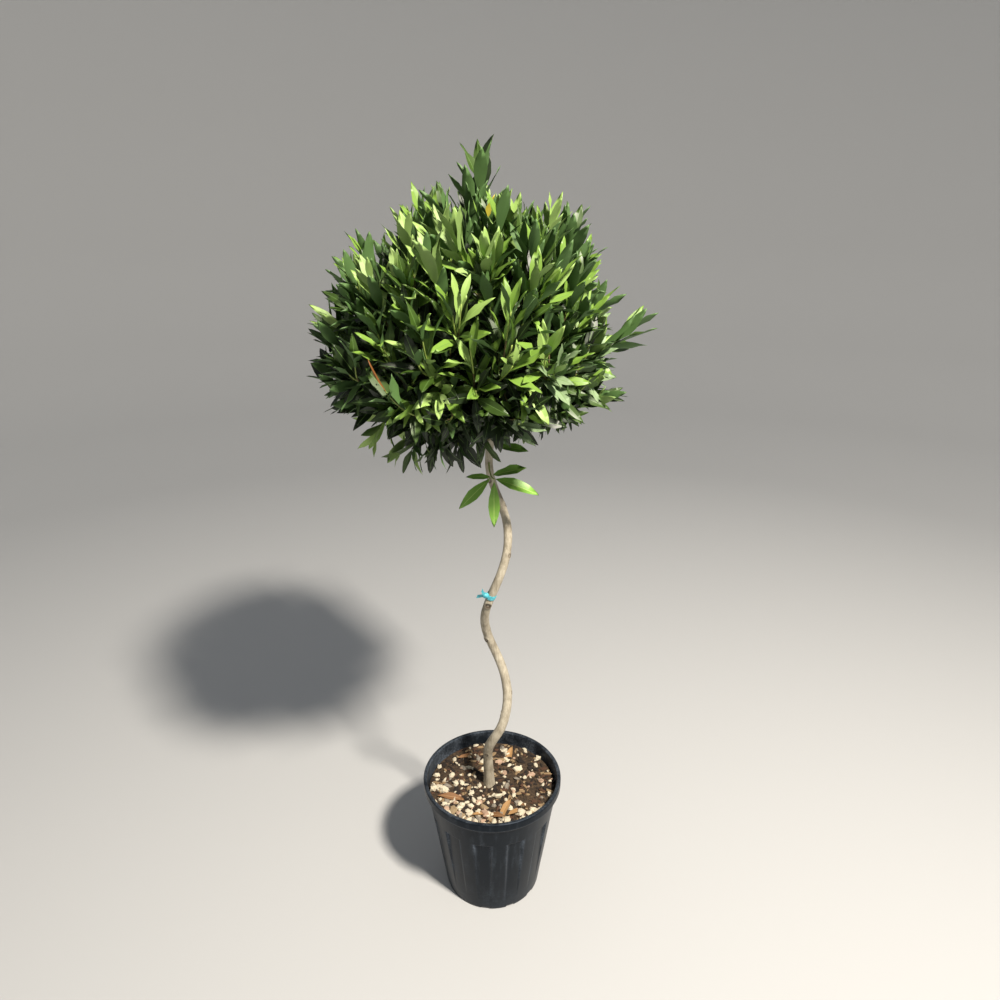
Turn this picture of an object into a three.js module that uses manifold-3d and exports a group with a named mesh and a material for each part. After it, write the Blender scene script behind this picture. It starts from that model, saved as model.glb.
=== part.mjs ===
// Potted bay ball topiary: a bay laurel grown as a standard. One stem rises from a round nursery
// pot in a slow spiral, forks inside the crown into short boughs, and each bough carries one mass
// of leafy shoots. The crown is a loose ball, a little wider than tall.
// Millimetres, +Z up. The origin is the centre of the pot's flat underside, and -Y is the front.

import * as THREE from 'three';
import { mergeVertices } from 'three/addons/utils/BufferGeometryUtils.js';
import Module from 'manifold-3d';

const wasm = await Module();
wasm.setup();

// Gap kept between two pieces that touch
const seatGap = 0.3;

// Pot: a blow-moulded container with twelve shallow flutes, a rolled rim, and a foot notched
// under each flute
const potHeight = 320;
const potRimRadius = 175;
const potNeckRadius = 167;
const potBaseRadius = 122;
const potWall = 3;
const potFloor = 4;
const rimHeight = 22;
const rimRounding = 2.5;
const fluteCount = 12;
const fluteDepth = 6;
const fluteFoot = 35;
const fluteTop = 240;
const fluteStep = 2.5;
const fluteFirstAzimuth = -8;
const fluteEdgeAngle = 1.5;
const columnsPerFlute = 4;
const notchWidth = 20;
const notchHeight = 6;
const notchDepth = 12;

// Potting mix, which fills the pot to about 35 mm under the rim
const mixTop = 285;
const mixMound = 5;
const mixMoundRadius = 125;
const mixSeatRadius = 60;

// Stem: it stands upright on the mix, left of the axis that it winds round, then climbs in a
// right-handed spiral of constant pitch and straightens as it enters the crown
const windAxisX = 11;
const windRadius = 27;
const windPitch = 420;
const windFrontHeight = 446;
const windFootShare = 0.7;
const windFootTop = 500;
const windEaseStart = 1000;
const forkPoint = new THREE.Vector3(4, 0, 1290);
const stemFootRadius = 12.2;
const stemTipRadius = 8;
const flareRadius = 3.5;
const flareHeight = 22;
const stemSteps = 32;
const stemSides = 8;

// Tie: one turn of flat tape with a knot and two short tails
const tieHeight = 838;
const tieWidth = 12;
const tieThickness = 1.4;
const knotWidth = 16;
const knotDepth = 12;
const knotHeight = 13;
const tailLength = 19;
const tailWidth = 9;
const tailTilts = [-18, 28];

// Crown: the surface that the outermost leaf tips reach, measured from its middle
const crownCentre = new THREE.Vector3(-35, 0, 1420);
const crownHalfWidth = 322;
const crownHalfHeight = 272;
const crownSquareness = 3;
const shootTotal = 104;
const shaggyShare = 0.07;
const underShrink = 0.17;
const rightShrink = 0.1;
const leftShrink = 0.08;
const overshootShare = 0.02;

// Masses: rings of foliage round the crown's middle, each at the tip of one bough
const massDepthShare = 0.43;
const massDrop = 30;
const coreRadial = 64;
const coreAcross = 80;
const coreRoughness = 0.08;
const cellMargin = 1.2;
const massStemReach = 0.5;
const shootsFrom = 0.35;
const shootsTo = 0.95;
const compass = {
  4: ['front', 'right', 'back', 'left'],
  6: ['front', 'front_right', 'back_right', 'back', 'back_left', 'front_left'],
};
const rings = [
  { name: 'lower', elevation: -40, count: 4, turn: 22, stemHeight: 1190 },
  { name: 'middle', elevation: 0, count: 6, turn: 0, stemHeight: 1225 },
  { name: 'upper', elevation: 40, count: 4, turn: 30, stemHeight: 1262 },
];
const boughBendShare = 0.4;
const boughRise = 0.22;
const boughEntryDrop = 45;
const boughBaseRadius = 5.4;
const boughTipRadius = 3.6;
const boughSinkShare = 0.75;
const boughHeightStep = 6;
const vaseAxisX = -20;
const vaseProfile = [[0, 1140], [26, 1180], [60, 1400], [0, 1500]];
const vaseSides = 8;

// Shoots and leaves: a leaf stands at each golden-angle turn, more upright towards the tip.
// A habit says how many leaves a shoot has, how far apart, how they lean in degrees, and their
// size as a share of the leaf length below. Crown leaves are larger than life, as they are fewer.
const crownHabit = { leaves: 5, spacing: 20, firstLean: 12, leanStep: 13, size: 1 };
const leaderHabit = { leaves: 7, spacing: 17, firstLean: 9, leanStep: 6, size: 1 };
const sproutHabit = { leaves: 5, spacing: 5, firstLean: 58, leanStep: 4, size: 0.76 };
const shootRadius = 2;
const shootTipRadius = 1.3;
const twigSteps = 2;
const shootLength = 120;
const leafLength = 114;
const leafWidth = 41;
const leafThickness = 2.4;
const leafFold = 3.2;
const leafArch = 9;
const leafWidest = 0.5;
const leafSink = 0.5;
const leafSizeSpread = 0.14;
const leafLeanSpread = 6;
const goldenAngle = Math.PI * (3 - Math.sqrt(5));
const leafTries = 6;
const leafRoom = 18;
const limbClearance = 4;
const crownLift = 1.2;
const underLift = -0.15;
const leaderLift = 0.75;

// Shoots that stand out of the ball: where their last leaf ends
const leaderTip = new THREE.Vector3(-18, 0, 1781);
const secondTip = new THREE.Vector3(-37, -12, 1733);
const sprayTip = new THREE.Vector3(292, -80, 1458);
const hangingTip = new THREE.Vector3(-252, -120, 1222);

// Sprout: it leaves the stem under the crown and hangs forward, and its first leaf points down
const sproutHeight = 1150;
const sproutDrop = 26;
const sproutForward = 58;
const sproutAside = 12;
const sproutFirstTurn = 1.5 * Math.PI;

const potBlack = new THREE.MeshStandardMaterial({ color: 0x2f3237, roughness: 0.5, metalness: 0 });
const mixBrown = new THREE.MeshStandardMaterial({ color: 0x4b3a2c, roughness: 0.95, metalness: 0 });
const barkOlive = new THREE.MeshStandardMaterial({ color: 0x968c78, roughness: 0.8, metalness: 0 });
const boughGreen = new THREE.MeshStandardMaterial({ color: 0x66603f, roughness: 0.8, metalness: 0 });
const tapeTeal = new THREE.MeshStandardMaterial({ color: 0x2aa3b5, roughness: 0.35, metalness: 0 });
const leafGreen = new THREE.MeshStandardMaterial({ color: 0x3c6a26, roughness: 0.45, metalness: 0 });

const topiary = new THREE.Group();
const up = new THREE.Vector3(0, 0, 1);

// A closed three.js geometry as a solid that can be joined and cut
function solidOf(geometry) {
  const bare = geometry.clone();
  bare.deleteAttribute('normal');
  bare.deleteAttribute('uv');
  const welded = mergeVertices(bare);
  const corners = welded.index.array;
  const triVerts = [];
  for (let i = 0; i < corners.length; i += 3) {
    const triangle = [corners[i], corners[i + 1], corners[i + 2]];
    if (new Set(triangle).size === 3) {
      triVerts.push(...triangle);
    }
  }
  return new wasm.Manifold(new wasm.Mesh({
    numProp: 3,
    vertProperties: Float32Array.from(welded.attributes.position.array),
    triVerts: Uint32Array.from(triVerts),
  }));
}

// The outer skin of a solid's largest piece: scraps are dropped and sealed hollows filled
function wholeBody(solid) {
  const shells = solid.simplify(0.02).decompose();
  return shells.reduce((best, shell) => (shell.volume() > best.volume() ? shell : best));
}

function addPiece(name, solid, material) {
  const { vertProperties, triVerts } = wholeBody(solid).getMesh();
  const geometry = new THREE.BufferGeometry();
  geometry.setAttribute('position', new THREE.BufferAttribute(vertProperties, 3));
  geometry.setIndex(new THREE.BufferAttribute(triVerts, 1));
  geometry.computeVertexNormals();
  const mesh = new THREE.Mesh(geometry, material);
  mesh.name = name;
  topiary.add(mesh);
}

function seededRandom(seed) {
  let state = seed;
  return () => {
    state = (state * 1664525 + 1013904223) % 4294967296;
    return state / 4294967296;
  };
}

// Unit vector at a compass azimuth (0 is the front, 90 the right) and an elevation, in degrees
function directionTo(azimuth, elevation) {
  const a = THREE.MathUtils.degToRad(azimuth);
  const e = THREE.MathUtils.degToRad(elevation);
  return new THREE.Vector3(Math.cos(e) * Math.sin(a), -Math.cos(e) * Math.cos(a), Math.sin(e));
}

// A closed tapering limb: a cylinder whose rings are carried along a curve.
// The radius is a function of the share of the length, and grow makes it fatter and longer.
function limbGeometry(curve, radiusAt, sides, steps, grow = 0) {
  const geometry = new THREE.CylinderGeometry(1, 1, 1, sides, steps);
  const frames = curve.computeFrenetFrames(steps, false);
  const corners = geometry.attributes.position;
  const corner = new THREE.Vector3();
  for (let i = 0; i < corners.count; i += 1) {
    corner.fromBufferAttribute(corners, i);
    const ring = Math.round((corner.y + 0.5) * steps);
    const radius = radiusAt(ring / steps) + grow;
    const point = curve.getPointAt(ring / steps);
    point.addScaledVector(frames.normals[ring], corner.x * radius);
    point.addScaledVector(frames.binormals[ring], -corner.z * radius);
    if (ring === 0 || ring === steps) {
      point.addScaledVector(frames.tangents[ring], ring === 0 ? -grow : grow);
    }
    corners.setXYZ(i, point.x, point.y, point.z);
  }
  return geometry;
}

// Pot and potting mix

// Angle of one column of the pot: a flute has a column at each edge, and so has a panel
function columnAngle(column) {
  const period = 360 / fluteCount;
  const half = period / 2;
  const flat = half - fluteEdgeAngle;
  const offsets = [0, flat, half, half + flat];
  const turn = Math.floor(column / columnsPerFlute) * period + offsets[column % columnsPerFlute];
  return THREE.MathUtils.degToRad(turn + fluteFirstAzimuth - flat / 2);
}

// How far a column is pressed in at a height: deepest under the step, fading to the foot
function flutePress(column, height) {
  const inFlute = column % columnsPerFlute < columnsPerFlute / 2;
  const share = (height - fluteFoot) / (fluteTop - fluteStep - fluteFoot);
  return inFlute && share > 0 && height < fluteTop ? fluteDepth * share : 0;
}

// A turned shape whose columns stand at the pot's column angles, pressed in where asked
function columnLathe(profile, pressAt) {
  const columns = fluteCount * columnsPerFlute;
  const points = profile.map(([radius, height]) => new THREE.Vector2(radius, height));
  const geometry = new THREE.LatheGeometry(points, columns);
  const corners = geometry.attributes.position;
  for (let i = 0; i < corners.count; i += 1) {
    const [radius, height] = profile[i % profile.length];
    const column = Math.floor(i / profile.length) % columns;
    const reach = radius - pressAt(column, height, i % profile.length);
    const angle = columnAngle(column);
    corners.setXYZ(i, reach * Math.sin(angle), -reach * Math.cos(angle), height);
  }
  return geometry;
}

function wallRadius(height) {
  return THREE.MathUtils.lerp(potBaseRadius, potNeckRadius, height / (potHeight - rimHeight));
}

function makePot() {
  const rimFoot = potHeight - rimHeight;
  const outside = [
    [0, 0],
    [potBaseRadius - 2, 0],
    [potBaseRadius, 2],
    [wallRadius(fluteFoot), fluteFoot],
    [wallRadius(fluteTop - fluteStep), fluteTop - fluteStep],
    [wallRadius(fluteTop), fluteTop],
    [potNeckRadius, rimFoot],
    [potRimRadius - rimRounding, rimFoot],
    [potRimRadius, rimFoot + rimRounding],
    [potRimRadius, potHeight - rimRounding],
    [potRimRadius - rimRounding, potHeight],
  ];
  const inside = [
    [potNeckRadius + 1, potHeight],
    [potNeckRadius - 1, potHeight - rimRounding],
    [wallRadius(mixTop) - potWall, mixTop],
    [wallRadius(fluteTop) - potWall - fluteDepth, fluteTop],
    [potBaseRadius - potWall, potFloor],
    [0, potFloor],
  ];
  const pressOutside = (column, height, step) => (step < outside.length ? flutePress(column, height) : 0);
  let pot = solidOf(columnLathe([...outside, ...inside], pressOutside));
  for (let i = 0; i < fluteCount; i += 1) {
    const notch = new THREE.BoxGeometry(notchWidth, notchDepth, 2 * notchHeight);
    notch.translate(0, -potBaseRadius, 0);
    notch.rotateZ(THREE.MathUtils.degToRad(fluteFirstAzimuth + (360 * i) / fluteCount));
    pot = pot.subtract(solidOf(notch));
  }
  addPiece('pot', pot, potBlack);
}

// The mix is mounded a little between the pot's wall and the flat place where the stem stands
function makeMix() {
  const profile = [
    [0, potFloor + seatGap],
    [potBaseRadius - potWall - seatGap, potFloor + seatGap],
    [wallRadius(fluteTop) - potWall - fluteDepth - seatGap, fluteTop],
    [wallRadius(mixTop) - potWall - 2 * seatGap, mixTop],
    [mixMoundRadius, mixTop + mixMound],
    [mixSeatRadius, mixTop],
    [0, mixTop],
  ];
  addPiece('potting_mix', solidOf(columnLathe(profile, () => 0)), mixBrown);
}

// Stem and tie

// The stem's centre at a height: upright at its foot, where the spiral is narrower, then on the
// full spiral, then eased over to the fork
function stemPoint(height) {
  const climb = THREE.MathUtils.smoothstep(height, mixTop, windFootTop);
  const woundHeight = THREE.MathUtils.lerp(windFrontHeight - windPitch / 4, height, climb);
  const wind = (2 * Math.PI * (woundHeight - windFrontHeight)) / windPitch;
  const ease = THREE.MathUtils.smoothstep(height, windEaseStart, forkPoint.z);
  const radius = windRadius * THREE.MathUtils.lerp(windFootShare, 1, climb) * (1 - ease);
  const axisX = THREE.MathUtils.lerp(windAxisX, forkPoint.x, ease);
  return new THREE.Vector3(axisX + radius * Math.sin(wind), -radius * Math.cos(wind), height);
}

function stemRadius(height) {
  const share = (height - mixTop) / (forkPoint.z - mixTop);
  const flare = flareRadius * Math.exp(-Math.max(height - mixTop, 0) / flareHeight);
  return THREE.MathUtils.lerp(stemFootRadius, stemTipRadius, share) + flare;
}

// The stem between two heights, as a curve
class StemCurve extends THREE.Curve {
  constructor(low, high) {
    super();
    this.low = low;
    this.high = high;
  }

  heightAt(share) {
    return THREE.MathUtils.lerp(this.low, this.high, share);
  }

  getPoint(share) {
    return stemPoint(this.heightAt(share));
  }
}

// The stem starts below the mix and is cut flat where it meets it
function stemSolid(grow = 0) {
  const belowCut = 30;
  const curve = new StemCurve(mixTop - belowCut, forkPoint.z);
  const radiusAt = (share) => stemRadius(curve.heightAt(share));
  const limb = solidOf(limbGeometry(curve, radiusAt, stemSides, stemSteps, grow));
  return limb.trimByPlane([0, 0, 1], mixTop + seatGap - grow);
}

const stem = stemSolid();
const stemClear = stemSolid(seatGap);

// One turn of tape square to the stem, a knot on its left and two tails, cut clear of the bark
function makeTie() {
  const centre = stemPoint(tieHeight);
  const along = stemPoint(tieHeight + 5).sub(stemPoint(tieHeight - 5)).normalize();
  const outer = stemRadius(tieHeight) + seatGap + tieThickness;
  const band = new THREE.CylinderGeometry(outer, outer, tieWidth, 12);
  const knot = new THREE.IcosahedronGeometry(0.5);
  knot.scale(knotWidth, knotDepth, knotHeight);
  knot.translate(-outer - tieThickness, 0, 0);
  const pieces = [solidOf(band), solidOf(knot)];
  for (const tilt of tailTilts) {
    const tail = new THREE.BoxGeometry(tailLength, tieThickness, tailWidth);
    tail.translate(-tailLength / 2, 0, 0);
    tail.rotateY(THREE.MathUtils.degToRad(tilt));
    tail.translate(-outer - 2 * tieThickness, 0, 0);
    pieces.push(solidOf(tail));
  }
  const turn = new THREE.Quaternion().setFromUnitVectors(new THREE.Vector3(0, 1, 0), along);
  const place = new THREE.Matrix4().compose(centre, turn, new THREE.Vector3(1, 1, 1));
  const tie = wasm.Manifold.union(pieces).transform(place.elements);
  addPiece('tie', tie.subtract(stemClear), tapeTeal);
}

// Crown: masses, their cells and their boughs

// How far the outermost leaf tips stand from the crown's middle in a direction
function crownReach(direction) {
  const across = Math.hypot(direction.x, direction.y) / crownHalfWidth;
  const rise = Math.abs(direction.z) / crownHalfHeight;
  return (across ** crownSquareness + rise ** crownSquareness) ** (-1 / crownSquareness);
}

// 1 between the two middle values, and easing to 0 at the outer ones
function hump(value, low, rise, fall, high) {
  return THREE.MathUtils.smoothstep(value, low, rise) * (1 - THREE.MathUtils.smoothstep(value, fall, high));
}

// How far the shoots reach: the crown is clipped closer underneath, on its right and on its left shoulder
function clippedReach(direction) {
  const under = THREE.MathUtils.smoothstep(-direction.z, 0.3, 0.55);
  const right = THREE.MathUtils.smoothstep(direction.x, 0.3, 0.8) * hump(direction.z, -0.4, 0, 0.5, 0.8);
  const left = THREE.MathUtils.smoothstep(-direction.x, 0.3, 0.6) * hump(direction.z, 0.3, 0.65, 0.75, 0.9);
  return crownReach(direction) * (1 - underShrink * under - rightShrink * right - leftShrink * left);
}

// How far out a point is, as a share of the crown's reach in its direction
function crownShare(point) {
  const offset = point.clone().sub(crownCentre);
  return offset.length() / crownReach(offset.clone().normalize());
}

function massAt(name, azimuth, elevation, stemHeight) {
  const outward = directionTo(azimuth, elevation);
  const centre = crownCentre.clone().addScaledVector(outward, massDepthShare * crownReach(outward));
  centre.z -= massDrop;
  return { name, outward, centre, stemHeight };
}

const masses = [massAt('top', 0, 90, forkPoint.z - 4)];
for (const ring of rings) {
  for (let i = 0; i < ring.count; i += 1) {
    const azimuth = ring.turn + (360 / ring.count) * i;
    const name = `${ring.name}_${compass[ring.count][i]}`;
    masses.push(massAt(name, azimuth, ring.elevation, ring.stemHeight + boughHeightStep * (i % 3)));
  }
}

// A point keeps to a mass's own space when it is nearer its centre than any other's
function keepsToCell(mass, point) {
  return masses.every((other) => {
    if (other === mass) {
      return true;
    }
    const across = other.centre.clone().sub(mass.centre);
    const middle = mass.centre.clone().add(other.centre).multiplyScalar(0.5);
    return point.clone().sub(middle).dot(across.normalize()) < -cellMargin;
  });
}

// The bough leaves the stem, rises, and ends a little way inside its mass
function boughCurve(mass) {
  const start = stemPoint(mass.stemHeight);
  const below = crownCentre.clone().setZ(mass.centre.z - boughEntryDrop);
  const inward = below.sub(mass.centre).normalize();
  const end = mass.centre.clone().addScaledVector(inward, boughSinkShare * coreRadial);
  const bend = start.clone().lerp(end, boughBendShare);
  bend.z += boughRise * start.distanceTo(end);
  return new THREE.QuadraticBezierCurve3(start, bend, end);
}

function boughSolid(mass, grow = 0) {
  const radiusAt = (share) => THREE.MathUtils.lerp(boughBaseRadius, boughTipRadius, share);
  return solidOf(limbGeometry(boughCurve(mass), radiusAt, 5, 4, grow));
}

// Boughs are cut clear of the stem and of the boughs that were made before them
function makeBoughs() {
  let clear = stemClear;
  for (const mass of masses) {
    addPiece(`bough_${mass.name}`, boughSolid(mass).subtract(clear), boughGreen);
    clear = clear.add(boughSolid(mass, seatGap));
  }
  return clear;
}

// Shoots and leaves

// One leaf: an octahedron drawn out to a pointed blade, folded along its midrib and arched.
// It lies along +X from its root, with its upper face up.
function leafGeometry(size) {
  const geometry = new THREE.OctahedronGeometry(1);
  const corners = geometry.attributes.position;
  for (let i = 0; i < corners.count; i += 1) {
    const end = corners.getX(i);
    const share = Math.abs(end) > 0.5 ? (end + 1) / 2 : leafWidest;
    const x = share * leafLength * size - leafSink;
    const y = (corners.getY(i) * leafWidth * size) / 2;
    const onRib = Math.abs(corners.getZ(i)) > 0.5 ? -leafFold : 0;
    const z = (corners.getZ(i) * leafThickness) / 2 + onRib - leafArch * share * share;
    corners.setXYZ(i, x, y, z);
  }
  return geometry;
}

// Places a leaf on a shoot: it leans away from the shoot by the lean, on the side of the turn
function leafOn(shoot, root, lean, turn, size) {
  const side = new THREE.Vector3(0, 0, 1).cross(shoot);
  if (side.length() < 0.1) {
    side.set(1, 0, 0);
  }
  side.normalize().applyAxisAngle(shoot, turn);
  const along = shoot.clone().multiplyScalar(Math.cos(lean)).addScaledVector(side, Math.sin(lean));
  const face = shoot.clone().multiplyScalar(Math.sin(lean)).addScaledVector(side, -Math.cos(lean));
  const place = new THREE.Matrix4().makeBasis(along, face.clone().cross(along), face);
  place.setPosition(root);
  return leafGeometry(size).applyMatrix4(place);
}

function cornersOf(geometry) {
  const corners = geometry.attributes.position;
  const points = [];
  for (let i = 0; i < corners.count; i += 1) {
    points.push(new THREE.Vector3().fromBufferAttribute(corners, i));
  }
  return points;
}

// Whether a point keeps clear of the stem, which ends at the fork
function clearOfStem(point) {
  if (point.z > forkPoint.z + limbClearance) {
    return true;
  }
  const height = Math.max(point.z, mixTop);
  return point.distanceTo(stemPoint(height)) > stemRadius(height) + limbClearance;
}

// A point on a twig's axis, and its direction there, along the twig's straight stretches
function onTwig(curve, share) {
  const ring = Math.min(Math.floor(share * twigSteps), twigSteps - 1);
  const from = curve.getPointAt(ring / twigSteps);
  const to = curve.getPointAt((ring + 1) / twigSteps);
  const point = from.clone().lerp(to, share * twigSteps - ring);
  return { point, shoot: to.sub(from).normalize() };
}

// The outer part of a leaf's midrib, as a few points
function ribOf(root, leaf) {
  const tip = cornersOf(leaf).reduce((far, p) => (p.distanceTo(root) > far.distanceTo(root) ? p : far));
  return [0.3, 0.55, 0.8, 1].map((share) => root.clone().lerp(tip, share));
}

// Ribs that come closer than this to each other would cross or crowd
function crowds(rib, others) {
  return others.some((other) => rib.some((p) => other.some((q) => p.distanceTo(q) < leafRoom)));
}

// The leaves of one shoot, from its tip down. Each is turned round the shoot until it keeps to
// its mass's space and crosses none of the leaves that stand already.
function growLeaves(curve, habit, fits, random, ribs, firstTurn = 2 * Math.PI * random()) {
  const leaves = [];
  const length = curve.getLength();
  for (let i = 0; i < habit.leaves; i += 1) {
    const share = Math.max(1 - (habit.spacing * i) / length, 0.1);
    const { point: root, shoot } = onTwig(curve, share);
    const leanDegrees = habit.firstLean + habit.leanStep * i + leafLeanSpread * random();
    const lean = THREE.MathUtils.degToRad(leanDegrees);
    const size = habit.size * (1 + leafSizeSpread * (2 * random() - 1));
    for (let attempt = 0; attempt < leafTries; attempt += 1) {
      const turn = firstTurn + goldenAngle * i + (Math.PI / 3) * attempt;
      const leaf = leafOn(shoot, root, lean, turn, size);
      const rib = ribOf(root, leaf);
      if (!crowds(rib, ribs) && cornersOf(leaf).every(fits)) {
        leaves.push(solidOf(leaf));
        ribs.push(rib);
        break;
      }
    }
  }
  return leaves;
}

// A shoot is a three-sided twig that leaves the mass's own stem and turns to its heading
function growShoot(base, { tip, heading, habit }, fits, random, ribs) {
  const bend = tip.clone().addScaledVector(heading, -shootLength / 2);
  const curve = new THREE.QuadraticBezierCurve3(base, bend, tip);
  const radiusAt = (share) => THREE.MathUtils.lerp(shootRadius, shootTipRadius, share);
  const twig = limbGeometry(curve, radiusAt, 3, twigSteps);
  if (!cornersOf(twig).every(fits)) {
    return [];
  }
  return [solidOf(twig), ...growLeaves(curve, habit, fits, random, ribs)];
}

// Directions spread evenly over the ball, and the heading that a shoot there takes:
// upwards on the crown's top and sides, and outwards and down on its underside
function evenDirection(index, total) {
  const rise = 1 - (2 * (index + 0.5)) / total;
  const angle = goldenAngle * index;
  const across = Math.sqrt(1 - rise * rise);
  return new THREE.Vector3(across * Math.sin(angle), -across * Math.cos(angle), rise);
}

function headingFrom(direction, sideLift) {
  const side = THREE.MathUtils.smoothstep(direction.z, -0.7, 0.1);
  const lift = THREE.MathUtils.lerp(underLift, sideLift, side);
  return direction.clone().addScaledVector(up, lift).normalize();
}

// The mass whose own space a point lies in
function nearestMass(point) {
  return masses.reduce((best, mass) => {
    const nearer = mass.centre.distanceTo(point) < best.centre.distanceTo(point);
    return nearer ? mass : best;
  });
}

// A list of shoots, each with its tip and heading, dealt to the masses that they stand in
function dealShoots() {
  const random = seededRandom(7);
  const shoots = new Map(masses.map((mass) => [mass, []]));
  for (let i = 0; i < shootTotal; i += 1) {
    const direction = evenDirection(i, shootTotal);
    const heading = headingFrom(direction, crownLift);
    const reach = clippedReach(direction) * (1 - shaggyShare * random());
    const end = crownCentre.clone().addScaledVector(direction, reach);
    const tip = end.addScaledVector(heading, -leafLength);
    shoots.get(nearestMass(tip)).push({ tip, heading, habit: crownHabit });
  }
  for (const end of [leaderTip, secondTip, sprayTip, hangingTip]) {
    const heading = headingFrom(end.clone().sub(crownCentre).normalize(), leaderLift);
    const tip = end.clone().addScaledVector(heading, -leafLength);
    shoots.get(nearestMass(tip)).push({ tip, heading, habit: leaderHabit });
  }
  return shoots;
}

// The dense twiggy inside of a mass, trimmed to its own space and cut clear of the boughs' vase
function coreSolid(mass) {
  const ball = new THREE.IcosahedronGeometry(1, 1);
  const corners = ball.attributes.position;
  for (let i = 0; i < corners.count; i += 1) {
    const [x, y, z] = [corners.getX(i), corners.getY(i), corners.getZ(i)];
    const lump = 1 + coreRoughness * Math.sin(5 * x + mass.centre.x) * Math.sin(4 * y + 3 * z);
    corners.setXYZ(i, x * lump, y * lump, z * lump);
  }
  ball.scale(coreAcross, coreAcross, coreRadial);
  ball.applyQuaternion(new THREE.Quaternion().setFromUnitVectors(up, mass.outward));
  ball.translate(...mass.centre.toArray());
  let core = solidOf(ball);
  for (const other of masses) {
    if (other !== mass) {
      const across = mass.centre.clone().sub(other.centre);
      const middle = mass.centre.clone().add(other.centre).multiplyScalar(0.5);
      across.normalize();
      core = core.trimByPlane(across.toArray(), middle.dot(across) + cellMargin);
    }
  }
  return core.subtract(vaseSolid());
}

// The vase-shaped room inside the crown where the boughs fan out
function vaseSolid() {
  const points = vaseProfile.map(([radius, height]) => new THREE.Vector2(radius, height));
  const vase = new THREE.LatheGeometry(points, vaseSides).rotateX(Math.PI / 2);
  vase.translate(vaseAxisX, 0, 0);
  return solidOf(vase);
}

// A mass: its own stem goes on from the bough's tip, and its shoots branch from that stem
function makeMass(mass, shoots, limbs, seed) {
  const random = seededRandom(seed);
  const inSpace = (point) => keepsToCell(mass, point) && clearOfStem(point);
  const inCrown = (point) => inSpace(point) && crownShare(point) < 1 + overshootShare;
  const foot = boughCurve(mass).getPointAt(1);
  const head = mass.centre.clone().addScaledVector(mass.outward, coreRadial * massStemReach);
  const massStem = new THREE.LineCurve3(foot, head);
  const pieces = [coreSolid(mass), solidOf(limbGeometry(massStem, () => boughTipRadius, 3, 1))];
  const ribs = [];
  shoots.forEach((shoot, i) => {
    const base = massStem.getPoint(THREE.MathUtils.lerp(shootsFrom, shootsTo, i / shoots.length));
    const fits = shoot.habit === leaderHabit ? inSpace : inCrown;
    pieces.push(...growShoot(base, shoot, fits, random, ribs));
  });
  const whole = wasm.Manifold.union(pieces).subtract(limbs);
  addPiece(`foliage_${mass.name}`, whole, leafGreen);
}

// The leafy sprout that hangs forward from the stem just under the crown
function makeSprout(limbs) {
  const foot = stemPoint(sproutHeight);
  const tip = new THREE.Vector3(foot.x + sproutAside, foot.y - sproutForward, foot.z - sproutDrop);
  const bend = new THREE.Vector3(foot.x, tip.y + sproutForward / 3, tip.z);
  const twig = new THREE.QuadraticBezierCurve3(foot, bend, tip);
  const leaves = growLeaves(twig, sproutHabit, clearOfStem, seededRandom(3), [], sproutFirstTurn);
  const stalk = solidOf(limbGeometry(twig, () => shootRadius, 3, twigSteps));
  const whole = wasm.Manifold.union([stalk, ...leaves]);
  addPiece('foliage_low_sprout', whole.subtract(limbs), leafGreen);
}

makePot();
makeMix();
addPiece('stem', stem, barkOlive);
makeTie();
const limbsClear = makeBoughs();
const shootsOf = dealShoots();
masses.forEach((mass, i) => makeMass(mass, shootsOf.get(mass), limbsClear, 11 + i));
makeSprout(limbsClear);

export default topiary;
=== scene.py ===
"""Looks for a potted bay ball topiary: a clipped bay laurel on a spiral stem in a fluted nursery pot.

Metres, +Z up, -Y the front. The pieces follow the plant from the pot upwards.
"""

import math

import bpy
import numpy as np
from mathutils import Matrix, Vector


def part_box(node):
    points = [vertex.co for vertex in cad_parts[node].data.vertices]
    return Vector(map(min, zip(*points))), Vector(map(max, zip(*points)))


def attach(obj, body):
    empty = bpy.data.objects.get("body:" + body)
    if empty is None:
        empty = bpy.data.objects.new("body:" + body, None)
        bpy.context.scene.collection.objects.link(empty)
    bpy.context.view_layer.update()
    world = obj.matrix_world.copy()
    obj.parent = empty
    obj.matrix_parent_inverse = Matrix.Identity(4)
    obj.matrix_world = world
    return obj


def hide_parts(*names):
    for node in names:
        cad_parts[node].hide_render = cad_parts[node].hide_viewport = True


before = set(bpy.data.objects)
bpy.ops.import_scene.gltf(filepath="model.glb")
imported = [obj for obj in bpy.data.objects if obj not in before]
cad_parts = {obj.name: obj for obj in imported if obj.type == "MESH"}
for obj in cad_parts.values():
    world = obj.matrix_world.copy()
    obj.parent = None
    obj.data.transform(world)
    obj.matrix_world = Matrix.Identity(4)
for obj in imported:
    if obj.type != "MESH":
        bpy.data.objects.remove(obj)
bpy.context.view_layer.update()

# Pot: a blow-moulded nursery container of black polyethylene. A rolled rim stiffens the mouth, twelve
# shallow flutes stiffen the wall, and a notch under each lets water out at the foot. It has stood
# outdoors, so it is scuffed, faintly streaked and dusty.
pot_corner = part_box("pot")[1]
pot_height = pot_corner.z
pot_rim_radius = pot_corner.x
pot_neck_radius = 0.167
pot_base_radius = 0.122
pot_wall = 0.003
pot_floor = 0.004
rim_height = 0.022
rim_foot = pot_height - rim_height
rim_width = 0.0095
rim_draft = 0.002
rim_rounding = 0.0035
flute_count = 12
flute_depth = 0.006
flute_foot = 0.035
flute_top = 0.240
flute_step = 0.0015
flute_edge = 1.4
flute_first_azimuth = -8
notch_width = 0.020
notch_height = 0.006
notch_reach = 0.014
notch_edge = 0.002
notch_fade = 0.003
foot_ring_width = 0.02
wall_step = 0.008
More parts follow.
